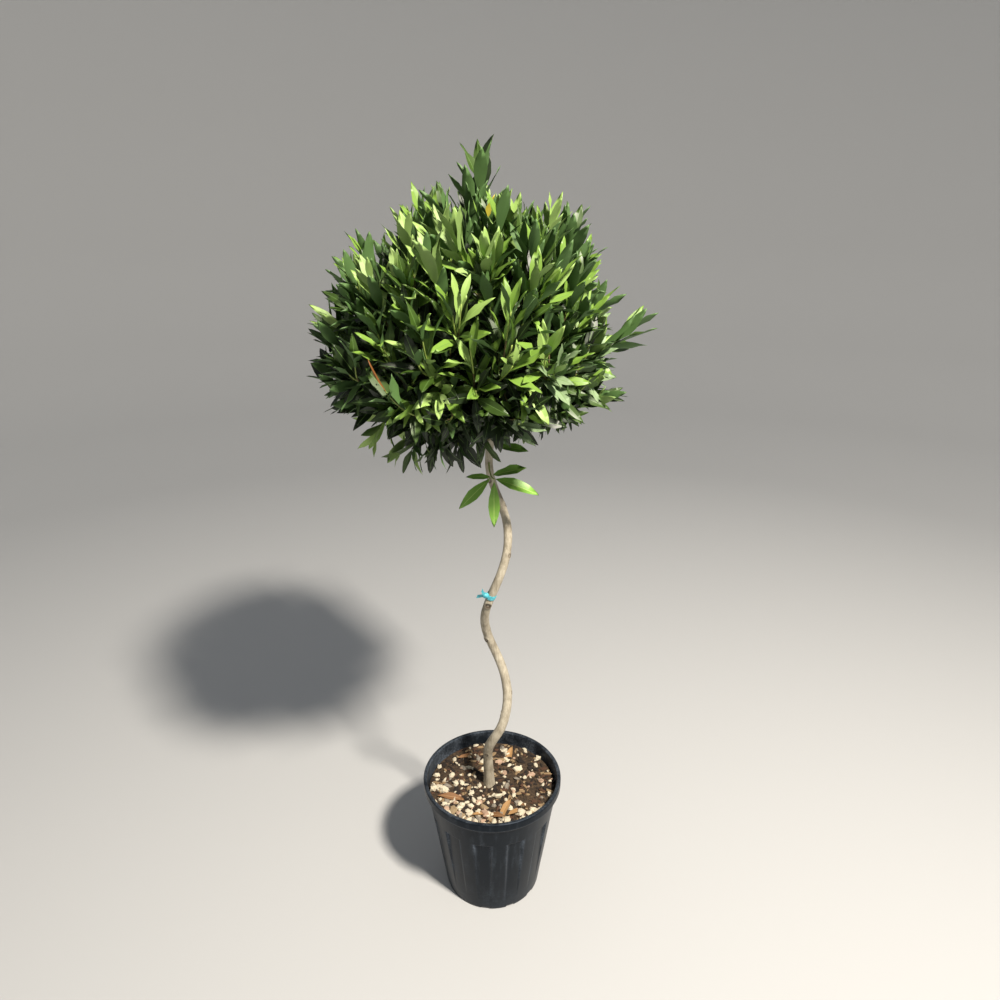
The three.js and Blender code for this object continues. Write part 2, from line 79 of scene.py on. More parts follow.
# The wall bulges in and out by the warp, which grows up to this height
wall_warp = 0.0012
warp_size = 0.3
warp_height = 0.1
# Height of the pale band at the rim's lower edge: wear with a painted highlight
pale_edge_height = 0.002
# The wall and the mix start and end on a small circle round the axis, which a pole then closes
axis_radius = 0.002
mix_top = 0.285


def linear(colour):
    """An sRGB hex colour in linear light, v / 12.92 or ((v + 0.055) / 1.055) to the power 2.4; alpha 1."""
    shares = np.array([int(colour[i:i + 2], 16) for i in (1, 3, 5)]) / 255
    light = np.where(shares <= 0.04045, shares / 12.92, ((shares + 0.055) / 1.055) ** 2.4)
    return (*light, 1.0)


def new_finish(name, colour, roughness, **sockets):
    """A material with one Principled shader, and the tree and shader to add nodes to."""
    material = bpy.data.materials.new(name)
    material.use_nodes = True
    tree = material.node_tree
    shader = tree.nodes["Principled BSDF"]
    shader.inputs["Base Color"].default_value = linear(colour)
    shader.inputs["Roughness"].default_value = roughness
    for socket, value in sockets.items():
        shader.inputs[socket.replace("_", " ")].default_value = value
    return material, tree, shader


def add_node(tree, kind, settings=None, **inputs):
    """Adds a node. Settings are its own properties, and an input is a value or another node's output."""
    node = tree.nodes.new(kind)
    for key, value in (settings or {}).items():
        setattr(node, key, value)
    for key, value in inputs.items():
        socket = node.inputs[int(key[1:])] if key[0] == "i" and key[1:].isdigit() else node.inputs[key]
        if isinstance(value, bpy.types.NodeSocket):
            tree.links.new(value, socket)
        else:
            socket.default_value = value
    return node


def own_place(tree):
    """Where a point is on its own object, in metres."""
    return add_node(tree, "ShaderNodeTexCoord").outputs["Object"]


def stretched(tree, place, *scale):
    """The place with its X, Y and Z scaled."""
    return add_node(tree, "ShaderNodeMapping", Vector=place, Scale=scale).outputs[0]


def noise(tree, place, scale, detail, **inputs):
    """Cloudy noise from 0 to 1, with about as many clouds to a metre as the scale says."""
    inputs.update(Vector=place, Scale=scale, Detail=detail)
    return add_node(tree, "ShaderNodeTexNoise", **inputs).outputs["Fac"]


def ranged(tree, value, low, high, at_low, at_high):
    """A straight line from one result at low to another at high, level beyond them."""
    return add_node(tree, "ShaderNodeMapRange", i0=value, i1=low, i2=high, i3=at_low, i4=at_high).outputs[0]


def reckoned(tree, operation, *values, clamped=False):
    """The result of a Math node, held between 0 and 1 if clamped."""
    settings = {"operation": operation, "use_clamp": clamped}
    return add_node(tree, "ShaderNodeMath", settings, **{f"i{i}": v for i, v in enumerate(values)}).outputs[0]


def mixed(tree, share, one, other, blend="MIX"):
    """One colour with a share of the other mixed in."""
    return add_node(tree, "ShaderNodeMix", {"data_type": "RGBA", "blend_type": blend}, Factor=share, i6=one,
                    i7=other).outputs[2]


def ramped(tree, value, dark, light, low=0, high=1):
    """The dark colour up to the low value, turning into the light one at the high value."""
    ramp = add_node(tree, "ShaderNodeValToRGB", Fac=value)
    for element, place, colour in zip(ramp.color_ramp.elements, (low, high), (dark, light)):
        element.position = place
        element.color = linear(colour)
    return ramp.outputs[0]


def stored(tree, name):
    """The value that a mesh stores for its points under the name."""
    return add_node(tree, "ShaderNodeAttribute", {"attribute_name": name}).outputs["Fac"]


def finished(tree, shader, colour, height, strength, distance):
    """Sends a colour to the shader, and a height through a Bump node to its normal."""
    bump = add_node(tree, "ShaderNodeBump", Strength=strength, Distance=distance, Height=height)
    tree.links.new(colour, shader.inputs["Base Color"])
    tree.links.new(bump.outputs[0], shader.inputs["Normal"])


def tube_faces(count, rows, columns, loop=False, under=None):
    """Corners of the faces of closed tubes whose points run tube by tube, row by row, then two poles a tube.

    Each quad joins a point to the next column and the next row, and a fan joins each end row to its pole.
    From the column under on, a quad starts at its second corner, which turns the diagonal that splits it.
    """
    size = rows * columns + (0 if loop else 2)
    row, column = np.meshgrid(np.arange(rows if loop else rows - 1), np.arange(columns), indexing="ij")
    after = (column + 1) % columns
    above = (row + 1) % rows
    quads = np.stack([row * columns + column, row * columns + after,
                      above * columns + after, above * columns + column], -1)
    if under is not None:
        quads[:, under:] = np.roll(quads[:, under:], -1, axis=-1)
    starts = np.arange(count)[:, None, None] * size
    faces = [(quads.reshape(1, -1, 4) + starts).reshape(-1, 4)]
    if not loop:
        edge = np.arange(columns)
        following = (edge + 1) % columns
        foot = np.stack([following, edge, np.full(columns, rows * columns)], -1)
        last = (rows - 1) * columns
        head = np.stack([last + edge, last + following, np.full(columns, rows * columns + 1)], -1)
        faces.append((np.concatenate([foot, head])[None] + starts).reshape(-1, 3))
    return faces


def new_object(name, data):
    """An object of the data, in the scene."""
    made = bpy.data.objects.new(name, data)
    bpy.context.scene.collection.objects.link(made)
    return made


def tube_piece(name, grids, finishes, poles=None, loop=False, finish_of_faces=None, smooth=True, under=None):
    """One mesh of closed tubes from points in an array (tubes, rows, columns, 3), columns turning left.

    A pole is the mean of its end row unless poles (tubes, 2, 3) are given.
    """
    count, rows, columns, _ = grids.shape
    points = grids.reshape(count, rows * columns, 3)
    if not loop:
        if poles is None:
            poles = np.stack([grids[:, 0].mean(1), grids[:, -1].mean(1)], 1)
        points = np.concatenate([points, poles], 1)
    faces = tube_faces(count, rows, columns, loop, under)
    mesh = bpy.data.meshes.new(name)
    mesh.from_pydata(points.reshape(-1, 3).tolist(), [], [face for part in faces for face in part.tolist()])
    mesh.polygons.foreach_set("use_smooth", np.full(len(mesh.polygons), smooth))
    for finish in finishes:
        mesh.materials.append(finish)
    if finish_of_faces is not None:
        mesh.polygons.foreach_set("material_index", finish_of_faces.astype(np.int32))
    return new_object(name, mesh)


def store(piece, name, values):
    """Stores a value for each point of a piece of one tube, and 0 for its two poles."""
    attribute = piece.data.attributes.new(name, "FLOAT", "POINT")
    attribute.data.foreach_set("value", np.concatenate([values.ravel(), [0, 0]]).astype(np.float32))


def settle(piece, slot, *nodes):
    """The piece rides with the plant and stands for CAD nodes, whose parts it hides. The slot is not used."""
    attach(piece, "root")
    if nodes:
        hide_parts(*nodes)
    return piece


def curve_points(start, bend, end, rows):
    """Points along quadratic curves: (1 - t)^2 start + 2t (1 - t) bend + t^2 end, for evenly spaced t."""
    share = np.linspace(0, 1, rows)[:, None]
    start, bend, end = (np.asarray(p)[..., None, :] for p in (start, bend, end))
    return (1 - share) ** 2 * start + 2 * share * (1 - share) * bend + share ** 2 * end


def rounded(corners, cut):
    """A line through the corners, each corner replaced by a parabola that starts and ends a cut away."""
    corners = np.array(corners, float)
    middle = corners[1:-1]
    ends = []
    for other in (corners[:-2], corners[2:]):
        away = other - middle
        length = np.linalg.norm(away, axis=1, keepdims=True)
        ends.append(middle + away / length * np.minimum(cut, 0.45 * length))
    bends = curve_points(ends[0], middle, ends[1], 5)
    return np.concatenate([corners[:1], bends.reshape(-1, 2), corners[-1:]])


def walked(line):
    """How far along the line each of its points is."""
    return np.concatenate([[0], np.cumsum(np.linalg.norm(np.diff(line, axis=0), axis=1))])


def points_along(line, places):
    """The points of the line that are those distances along it."""
    return np.stack([np.interp(places, walked(line), line[:, k]) for k in range(line.shape[1])], -1)


def spaced(line, step):
    """The line with points added so that none are further apart than the step."""
    along = walked(line)
    return points_along(line, np.union1d(along, np.arange(0, along[-1], step)))


def smooth_share(value, low, high):
    """0 below low, 1 above high, and 3t^2 - 2t^3 between them."""
    share = np.clip((value - low) / (high - low), 0, 1)
    return share * share * (3 - 2 * share)


def waves(points, size, seed, count=7):
    """Soft lumps from -1 to 1: the mean of sine waves that cross the points in random directions.

    Each wave is between 0.7 and 1.6 sizes long.
    """
    dice = np.random.default_rng(seed)
    directions = dice.normal(size=(count, 3))
    directions /= np.linalg.norm(directions, axis=1, keepdims=True)
    lengths = size * dice.uniform(0.7, 1.6, count)
    phases = dice.uniform(0, 2 * math.pi, count)
    return np.sin(points @ (directions / lengths[:, None]).T * 2 * math.pi + phases).mean(-1) * 1.6


def about_axis(azimuth, radius, height=0):
    """Points at an azimuth, from the front to the right, a distance from the Z axis and a height."""
    return np.stack(np.broadcast_arrays(radius * np.sin(azimuth), -radius * np.cos(azimuth), height), -1)


def turned(line, columns):
    """A line of (radius, height) carried round the Z axis: (rows, columns, 3)."""
    return about_axis(np.arange(columns) * 2 * math.pi / columns, line[:, :1], line[:, 1:])


def wall_radius(height):
    """The outside of the pot's straight wall."""
    return pot_base_radius + (pot_neck_radius - pot_base_radius) / rim_foot * height


def pot_shape(columns=540):
    """The pot's wall turned round, its flutes pressed in and its foot notched, and its pale edge mark of wear
    and painted highlight.

    A flute's depth grows evenly from its foot to its top, where it ends in a step. The pale edge mark, partly
    wear and partly a painted highlight, is a narrow bell over each edge of a flute and over the lower edge of
    the rim.
    """
    inner_rim = pot_rim_radius - rim_width
    outside = [(axis_radius, 0), (pot_base_radius - foot_ring_width, 0), (pot_base_radius, 0)]
    outside += [(wall_radius(height), height) for height in (flute_foot, flute_top - flute_step, flute_top)]
    outside += [(pot_neck_radius, rim_foot), (pot_rim_radius, rim_foot), (pot_rim_radius, pot_height)]
    inside = [(inner_rim, pot_height), (inner_rim - rim_draft, mix_top),
              (wall_radius(flute_top) - pot_wall - flute_depth, flute_top),
              (pot_base_radius - pot_wall, pot_floor), (axis_radius, pot_floor)]
    line = spaced(rounded(outside + inside, rim_rounding), wall_step)
    outer_rows = np.arange(len(line)) < np.argmax(line[:, 1] > pot_height - 1e-4)
    shape = turned(line, columns)
    height = shape[..., 2]
    azimuth = np.arange(columns) * 360 / columns
    pitch = 360 / flute_count
    from_flute = np.abs((azimuth - flute_first_azimuth + pitch / 2) % pitch - pitch / 2)
    in_flute = smooth_share(pitch / 4 + flute_edge / 2 - from_flute, 0, flute_edge)
    rise = np.clip((height - flute_foot) / (flute_top - flute_foot), 0, 1)
    step = np.clip((flute_top - height) / flute_step, 0, 1)
    press = flute_depth * in_flute * rise * step * outer_rows[:, None]
    from_notch = from_flute * math.radians(1) * pot_base_radius
    in_notch = smooth_share(notch_width / 2 + notch_edge / 2 - from_notch, 0, notch_edge)
    radius = np.hypot(shape[..., 0], shape[..., 1])
    notch_end = pot_base_radius - notch_reach
    near_foot = outer_rows[:, None] * smooth_share(radius, notch_end - notch_fade, notch_end)
    lift = in_notch * near_foot * np.clip(notch_height - height, 0, None)
    below_rim = height < rim_foot - 0.004
    warp = wall_warp * waves(shape, warp_size, 4) * np.clip(height / warp_height, 0, 1) * below_rim
    shape[..., :2] *= ((radius - press - warp) / radius)[..., None]
    shape[..., 2] += lift
    wear_and_highlight = np.exp(-((from_flute - pitch / 4) / flute_edge) ** 2) * smooth_share(height, flute_foot, flute_top)
    wear_and_highlight = wear_and_highlight * (height < flute_top) + np.exp(-((height - rim_foot - pale_edge_height / 2) / pale_edge_height) ** 2)
    return shape, wear_and_highlight * outer_rows[:, None]


# Black polyethylene, blow-moulded: nearly matt, blue-grey where light grazes it, with a faint grain. Its blue
# cast is painted sky reflection. Rain has drawn dust down it, dust lies on the rim and foot, and edges are
# rubbed pale with a painted highlight. The inside wall is painted paler, as if lit.
black_plastic, tree, shader = new_finish("black_polyethylene", "#0f1419", 0.42, Specular_IOR_Level=0.2,
                                         Specular_Tint=linear("#b9cbe8"))
place = own_place(tree)
normal = add_node(tree, "ShaderNodeNewGeometry").outputs["Normal"]
upward = add_node(tree, "ShaderNodeSeparateXYZ", Vector=normal).outputs["Z"]
height = add_node(tree, "ShaderNodeSeparateXYZ", Vector=place).outputs["Z"]
outwards = add_node(tree, "ShaderNodeVectorMath", {"operation": "DOT_PRODUCT"},
                    i0=stretched(tree, place, 1, 1, 0), i1=normal).outputs["Value"]
# Streaks are about 12 mm apart and 200 mm long, scuffs about 60 mm across and dust specks 4 mm
streaks = noise(tree, stretched(tree, place, 1, 1, 0.06), 80, 3)
scuffs = noise(tree, place, 17, 6, Roughness=0.65)
specks = noise(tree, place, 250, 2)
# Dust: on what faces up, splashed up the foot and drawn down in streaks; then the pale edge mark of wear and
# painted highlight, and painted light down the inside
dust_and_painted_light = ranged(tree, upward, 0.35, 1, 0, 0.4)
for more in (ranged(tree, height, 0.09, 0, 0, 0.16), ranged(tree, streaks, 0.5, 0.8, 0, 0.3)):
    dust_and_painted_light = reckoned(tree, "ADD", dust_and_painted_light, more)
# Pale flute edges and a pale line under the rim: partly wear, partly a painted highlight
dust_and_painted_light = reckoned(tree, "MULTIPLY_ADD", stored(tree, "wear_and_highlight"), 0.6, dust_and_painted_light)
# Painted light: faces that look inwards, the inside wall, are made paler as if lit
dust_and_painted_light = reckoned(tree, "ADD", dust_and_painted_light, ranged(tree, outwards, -0.05, -0.12, 0, 0.5))
dust_and_painted_light = reckoned(tree, "MULTIPLY", dust_and_painted_light, ranged(tree, scuffs, 0.38, 0.66, 0.1, 1))
dust_and_painted_light = reckoned(tree, "MULTIPLY", dust_and_painted_light, ranged(tree, specks, 0.4, 0.68, 0.45, 1.35), clamped=True)
tree.links.new(ranged(tree, dust_and_painted_light, 0, 0.6, 0.34, 0.8), shader.inputs["Roughness"])
# The blue cast of the black and of the pale dust colour is painted sky reflection
finished(tree, shader, mixed(tree, dust_and_painted_light, linear("#0f1419"), linear("#6d7682")), specks, 0.25, 0.0004)

shape, wear_and_highlight = pot_shape()
pot = settle(tube_piece("nursery_pot", shape[None], [black_plastic]), "black_plastic", "pot")
store(pot, "wear_and_highlight", wear_and_highlight)

# Potting mix: composted bark and peat with pumice in it, pressed in round the root ball and settled
# about 35 mm below the rim. Watering has washed the pale pumice to the front and left edge.
mix_radius = 0.1612
mix_floor = 0.0045
mix_gap = 0.0006
mix_mound = 0.005
stem_seat_radius = 0.045
stem_foot_place = (-0.008, 0.0)
foot_rise = 0.0035
mound_start = 0.06
# Height, size, seed and number of waves of the lumps on the mix, from 40 mm wide down to crumbs of 5 mm
mix_lumps = ((0.0022, 0.04, 1, 7), (0.0015, 0.013, 2, 12), (0.0008, 0.005, 3, 16))
pebble_count = 350
chip_count = 620
litter_seed = 5
# How far litter stays from the wall and from the middle of the stem
wall_margin = 0.006
stem_margin = 0.019


def mix_height(x, y):
    """Height of the mix: a low ring-shaped mound, a rise against the stem, and lumps and crumbs."""
    mound_share = (np.hypot(x, y) - mound_start) / (mix_radius - mound_start)
    mound = mix_mound * np.sin(math.pi * np.clip(mound_share, 0, 1)) ** 0.7
    places = np.stack([x, y, 0 * x], -1)
    crumbs = sum(high * waves(places, size, seed, count) for high, size, seed, count in mix_lumps)
    from_stem = np.hypot(x - stem_foot_place[0], y - stem_foot_place[1])
    drawn_up = foot_rise * smooth_share(from_stem, stem_seat_radius, 0.012)
    return mix_top + mound + drawn_up + crumbs


def mix_shape(columns=300, top_rows=74):
    """The filled inside of the pot, turned round and given the mix's height on top."""
    filled = lambda height: wall_radius(height) - pot_wall - mix_gap
    side = [(axis_radius, mix_floor), (filled(0) - 0.001, mix_floor),
            (filled(flute_top) - flute_depth - 0.001, flute_top), (mix_radius, mix_top)]
    top = np.stack([np.linspace(mix_radius, axis_radius, top_rows + 1)[1:], np.full(top_rows, mix_top)], -1)
    shape = turned(np.concatenate([spaced(np.array(side), 0.02), top]), columns)
    on_top = np.arange(len(shape)) >= len(shape) - len(top)
    shape[on_top, :, 2] = mix_height(shape[on_top, :, 0], shape[on_top, :, 1])
    return shape


# Moist composted bark: very dark brown, matt, with fibres and crumbs of paler and redder bark
compost, tree, shader = new_finish("composted_bark", "#2f241b", 0.95)
place = own_place(tree)
crumbs = noise(tree, place, 170, 5, Roughness=0.7)
crumbly = ramped(tree, crumbs, "#120d0a", "#735c43", 0.32, 0.74)
damp = mixed(tree, 0.7, crumbly, noise(tree, place, 28, 3), "MULTIPLY")
finished(tree, shader, damp, crumbs, 0.8, 0.002)

settle(tube_piece("potting_mix_top", mix_shape()[None], [compost]), "potting_mix", "potting_mix")


def scattered(count, dice, weight):
    """Places on the mix, drawn evenly over its disc and kept with a chance that is the weight there."""
    places = np.zeros((0, 2))
    while len(places) < count:
        radius = (mix_radius - wall_margin) * np.sqrt(dice.random(count))
        drawn = about_axis(dice.uniform(0, 2 * math.pi, count), radius)[:, :2]
        from_stem = np.hypot(*(drawn - stem_foot_place).T)
        kept = (dice.random(count) < weight(drawn)) & (from_stem > stem_margin)
        places = np.concatenate([places, drawn[kept]])
    return places[:count]


def ball_grid(rows, columns, reach=1.0):
    """Points of a ball of radius 1 in even rows up to a share of the way to its poles: (rows, columns, 3)."""
    rise = np.linspace(-1, 1, rows + 2)[1:-1] * math.pi / 2 * reach
    turn = np.arange(columns) * 2 * math.pi / columns
    return np.stack([np.cos(rise)[:, None] * np.cos(turn), np.cos(rise)[:, None] * np.sin(turn),
                     np.sin(rise)[:, None] + 0 * turn], -1)


def lumps(places, sizes, sink, dice, rows, columns=6, roughness=0.2):
    """Stones or chips: squashed balls turned at random, with each point moved in or out a little.

    Sizes are (count, 3), the half lengths along each stone's own axes.
    """
    count = len(places)
    shape = ball_grid(rows, columns, 0.92) * (1 + roughness * dice.normal(size=(count, rows, columns, 1)))
    poles = np.broadcast_to(np.array([[0, 0, -1.0], [0, 0, 1.0]]), (count, 2, 3))
    spin = dice.uniform(0, 2 * math.pi, count)
    tip = dice.normal(0, 0.35, count)
    across = np.stack([np.cos(spin), np.sin(spin), 0 * spin], -1)
    upward = np.stack([np.sin(spin) * np.sin(tip), -np.cos(spin) * np.sin(tip), np.cos(tip)], -1)
    turns = np.stack([across, np.cross(upward, across), upward], -1)
    centre = np.concatenate([places, (mix_height(*places.T) + sizes[:, 2] * (1 - 2 * sink))[:, None]], 1)
    shape = np.einsum("nij,nrcj->nrci", turns, shape * sizes[:, None, None]) + centre[:, None, None]
    poles = np.einsum("nij,npj->npi", turns, poles * sizes[:, None]) + centre[:, None]
    return shape, poles


def tube_tints(choices, rows, columns):
    """The finish of each face where every tube has one finish: its quads first, then its end fans."""
    return np.concatenate([np.repeat(choices, (rows - 1) * columns), np.repeat(choices, 2 * columns)])


def litter(name, places, half, spreads, sink, rows, finishes, chances, dice):
    """Stones or chips in one mesh: half lengths are shares of the half, drawn from each of three spreads."""
    count = len(places)
    sizes = half[:, None] * np.stack([dice.uniform(*spread, count) for spread in spreads], -1)
    shape, poles = lumps(places, sizes, sink, dice, rows)
    tints = tube_tints(dice.choice(len(finishes), count, p=chances), *shape.shape[1:3])
    settle(tube_piece(name, shape, finishes, poles, finish_of_faces=tints, smooth=False), "potting_mix")


def finishes_of(kind, roughness, **colours):
    """Plain finishes of one roughness, one for each named colour."""
    return [new_finish(f"{kind}_{name}", colour, roughness)[0] for name, colour in colours.items()]


dice = np.random.default_rng(litter_seed)
# Pumice washed clean by rain: cream, with pinkish, tan and grey stones, matt, crushed to blunt corners
pumice = finishes_of("pumice", 0.85, cream="#cbc1aa", pink="#b1957f", tan="#937f61", grey="#847c70")
edge_weight = lambda at: np.clip(0.16 + 0.62 * smooth_share(-at[:, 1] - 0.35 * at[:, 0], 0.02, 0.12)
                                 * smooth_share(np.hypot(*at.T), 0.06, 0.13), 0, 1)
places = scattered(pebble_count, dice, edge_weight)
litter("pumice_stones", places, 0.0026 + 0.0072 * dice.random(pebble_count) ** 1.5,
       ((0.9, 1.5), (0.7, 1.0), (0.5, 0.85)), 0.3, 3, pumice, [0.58, 0.14, 0.18, 0.10], dice)

# Bark chips: sieved pine bark, dark on the weathered side and red-brown where it has split
chips = finishes_of("bark_chip", 0.9, dark="#231a14", red="#4d3424", tan="#8a7355")
places = scattered(chip_count, dice, lambda at: np.ones(len(at)))
litter("bark_chips", places, dice.uniform(0.003, 0.009, chip_count),
       ((0.9, 1.6), (0.4, 0.8), (0.12, 0.3)), 0.1, 2, chips, [0.52, 0.28, 0.20], dice)

# Stem: one trunk of bay wood, trained while young in a right-handed spiral, tapering from its flare
# in the mix to the fork. Its bark is thin, smooth and grey, with pores and the scars of side shoots.
wind_axis_x = 0.011
wind_radius = 0.027
wind_pitch = 0.420
wind_front_height = 0.446
wind_foot_share = 0.7
wind_foot_top = 0.500
wind_ease_start = 1.000
fork_point = np.array([0.004, 0, 1.290])
stem_foot_radius = 0.0122
stem_tip_radius = 0.008
flare_radius = 0.0035
flare_height = 0.022
stem_buried = 0.035
# Four low buttresses spread from the roots, and fade in this height
buttress_rise = 0.0010
buttress_height = 0.07
tie_height = 0.838
# Height, azimuth, half width and relief of each scar, the cut branch just under the tie first
stem_scars = [(0.817, 0, 0.0062, 0.0022), (0.705, -40, 0.0055, 0.0015), (0.560, 75, 0.004, 0.0010),
              (0.935, 50, 0.0045, 0.0012), (0.395, -20, 0.0045, 0.0012), (0.475, 110, 0.004, 0.0010),
              (1.040, 80, 0.0045, 0.0012), (1.105, -30, 0.005, 0.0014), (0.620, 200, 0.005, 0.0013),
              (0.880, 170, 0.0045, 0.0012), (0.510, 260, 0.004, 0.0012), (0.735, 95, 0.0035, 0.0008)]


def stem_point(height):
    """The stem's centre: upright at its foot, then a turn of the spiral each pitch, then eased to the fork.

    Up to the foot's top the wound height runs smoothly from a quarter turn before the front to the height.
    """
    climb = smooth_share(height, mix_top, wind_foot_top)
    left_height = wind_front_height - wind_pitch / 4
    wind = 2 * math.pi * (left_height + (height - left_height) * climb - wind_front_height) / wind_pitch
    ease = smooth_share(height, wind_ease_start, fork_point[2])
    radius = wind_radius * (wind_foot_share + (1 - wind_foot_share) * climb) * (1 - ease)
    centre = about_axis(wind, radius, height)
    centre[..., 0] += wind_axis_x + (fork_point[0] - wind_axis_x) * ease
    return centre


def stem_radius(height):
    """An even taper from the foot to the fork, plus a flare that dies away in a few centimetres."""
    share = (height - mix_top) / (fork_point[2] - mix_top)
    flare = flare_radius * np.exp(-np.maximum(height - mix_top, 0) / flare_height)
    return stem_foot_radius + (stem_tip_radius - stem_foot_radius) * share + flare


def unit(vectors):
    """The vectors at length 1."""
    return vectors / np.maximum(np.linalg.norm(vectors, axis=-1, keepdims=True), 1e-9)


def rings(paths, columns):
    """The outward directions round each point of the paths (..., rows, 3), square to the path.

    The first is also square to the world axis that the path follows least.
    """
    tangents = unit(np.gradient(paths, axis=-2))
    chord = paths[..., -1, :] - paths[..., 0, :]
    axis = np.eye(3)[np.abs(chord).argmin(-1)][..., None, :]
    side = unit(np.cross(axis, tangents))
    other = np.cross(tangents, side)
    angle = np.arange(columns) * 2 * math.pi / columns
    return np.cos(angle)[:, None] * side[..., None, :] + np.sin(angle)[:, None] * other[..., None, :]


def stem_shape(columns=48, rows=430):
    """Rings round the spiral. Bark lumps, pores and scars are added to the radius.

    A scar is a raised ring, 1.2 times its half width out, round a sunken middle.
    """
    height = np.linspace(mix_top - stem_buried, fork_point[2], rows)
    path = stem_point(height)
    outward = rings(path, columns)
    points = path[:, None] + outward * stem_radius(height)[:, None, None]
    azimuth = np.degrees(np.arctan2(outward[..., 0], -outward[..., 1]))
    foot = smooth_share(height, mix_top + buttress_height, mix_top)[:, None]
    relief = 0.0004 * waves(points, 0.06, 11) + 0.00022 * waves(points * [1, 1, 0.3], 0.007, 12, 12)
    relief += foot * buttress_rise * np.cos(np.radians(azimuth * 4) + 0.7)
    scar = np.zeros(relief.shape)
    for at, facing, half_width, rise in stem_scars:
        across = np.radians((azimuth - facing + 180) % 360 - 180) * stem_radius(height)[:, None]
        away = np.hypot(across, height[:, None] - at) / half_width
        relief += rise * (np.exp(-((away - 1.2) / 0.45) ** 2) - 0.6 * np.exp(-(away / 0.6) ** 2))
        scar = np.maximum(scar, np.exp(-((away - 0.75) / 0.38) ** 2) * min(1, rise / 0.0016))
    return points + outward * relief[..., None], scar


# Bay bark: smooth, grey-beige with an olive cast, streaked along the stem and dotted with pale pores.
# Scars are dark brown rings.
bay_bark, tree, shader = new_finish("bay_bark", "#a89d88", 0.72)
place = own_place(tree)
# Streaks 4 mm wide and 40 mm long, blotches 30 mm wide and pores 1.5 mm wide, drawn a little large to show
streaks = noise(tree, stretched(tree, place, 1, 1, 0.1), 240, 4)
blotched = ramped(tree, noise(tree, place, 33, 5), "#857c6b", "#b4ac9a", 0.3, 0.68)
pores = add_node(tree, "ShaderNodeTexVoronoi", Vector=place, Scale=170).outputs["Distance"]
streaked = mixed(tree, 0.8, blotched, streaks, "SOFT_LIGHT")
dotted = mixed(tree, ranged(tree, pores, 0.1, 0.2, 0.5, 0), streaked, linear("#d0c7b0"))
scarred = mixed(tree, stored(tree, "scar"), dotted, linear("#3b2c20"))
finished(tree, shader, scarred, streaks, 0.35, 0.0008)

shape, scar = stem_shape()
stem = settle(tube_piece("spiral_stem", shape[None], [bay_bark]), "bark", "stem")
store(stem, "scar", scar)

# Tie: one turn of stretchy plastic tape, 12 mm wide, drawn tight round the stem and knotted on its
# left, with two short tails. It is glossy and turquoise, and the pull has wrinkled it.
tie_width = 0.012
tie_thickness = 0.0012
tie_gap = 0.0003
wrinkle_depth = 0.0003
wrinkle_count = 9
tie_sag = 0.0009
knot_half = np.array([0.0082, 0.0062, 0.0068])
knot_place = np.array([-stem_radius(tie_height) - 0.0035, -0.005, 0])
knot_fold = 0.16
tail_length = 0.022
tail_width = 0.0092
tail_curl = 14
tail_flutter = 0.0012
# Tilt up or down and turn to the front of each tail in degrees, and where its flutter starts
tail_turns = ((-18, 12, 1), (30, -14, 2))

# Stretched PVC tape: saturated, glossy, paler where the stretch has whitened it
tape, tree, shader = new_finish("turquoise_pvc_tape", "#1f9fb6", 0.28)
creases = noise(tree, own_place(tree), 260, 3)
finished(tree, shader, mixed(tree, creases, linear("#10839d"), linear("#6cd0d8")), creases, 0.4, 0.001)


def at_tie(points):
    """Points given from the stem's centre at the tie: to the right, away from the front, up the stem."""
    low, centre, high = (stem_point(np.array(tie_height + step)) for step in (-0.005, 0, 0.005))
    along = unit(high - low)
    right = unit(np.array([1.0, 0, 0]) - along * along[0])
    return centre + points @ np.stack([right, np.cross(along, right), along])


def tie_band(turns=72, around=10):
    """A flat ring square to the stem: a rounded strip carried round it, its edges pulled in by wrinkles."""
    azimuth = np.arange(turns) * 2 * math.pi / turns
    section = np.arange(around) * 2 * math.pi / around
    wrinkle = wrinkle_depth * np.sin(azimuth * wrinkle_count)[:, None]
    radius = stem_radius(tie_height) + tie_gap + tie_thickness / 2 * (1 + np.cos(section)) + wrinkle
    rise = np.sign(np.sin(section)) * np.abs(np.sin(section)) ** 0.4 * tie_width / 2
    rise = rise + tie_sag * np.sin(azimuth * 2 + 0.6)[:, None]
    local = np.stack([radius * np.cos(azimuth)[:, None], -radius * np.sin(azimuth)[:, None], rise], -1)
    return at_tie(local)


def tie_tails(rows=12):
    """Tails: flat strips that leave the knot to the left and curl, one up and one down."""
    share = np.linspace(0, 1, rows)
    half_width = tail_width / 2 * (1 - 0.35 * smooth_share(share, 0.25, 0))
    corners = np.array([[-1, -1], [1, -1], [1, 1], [-1, 1]])
    section = np.stack(np.broadcast_arrays(0, tie_thickness / 3 * corners[:, 0],
                                           half_width[:, None] * corners[:, 1]), -1)
    tails = []
    for tilt, facing, start in tail_turns:
        droop = math.radians(tilt) + share * math.radians(tail_curl) * np.sign(tilt)
        reach = tail_length * share
        forward = -0.006 + tail_flutter * np.sin(share * 5 + start) + reach * math.sin(math.radians(facing))
        middle = np.stack([-reach * np.cos(droop) - stem_radius(tie_height) - 0.002, forward,
                           reach * np.sin(droop)], -1)
        tails.append(at_tie(middle[:, None] + section))
    return np.stack(tails)


def tie_knot(rows=12, columns=20):
    """The knot: a squashed ball with two crossing folds pressed in."""
    ball = ball_grid(rows, columns)
    turn = np.arange(columns) * 2 * math.pi / columns
    fold = knot_fold * np.cos(6 * ball[..., 0] + 4 * ball[..., 2]) * np.cos(3 * turn)
    return at_tie(ball * (1 + fold[..., None]) * knot_half + knot_place)


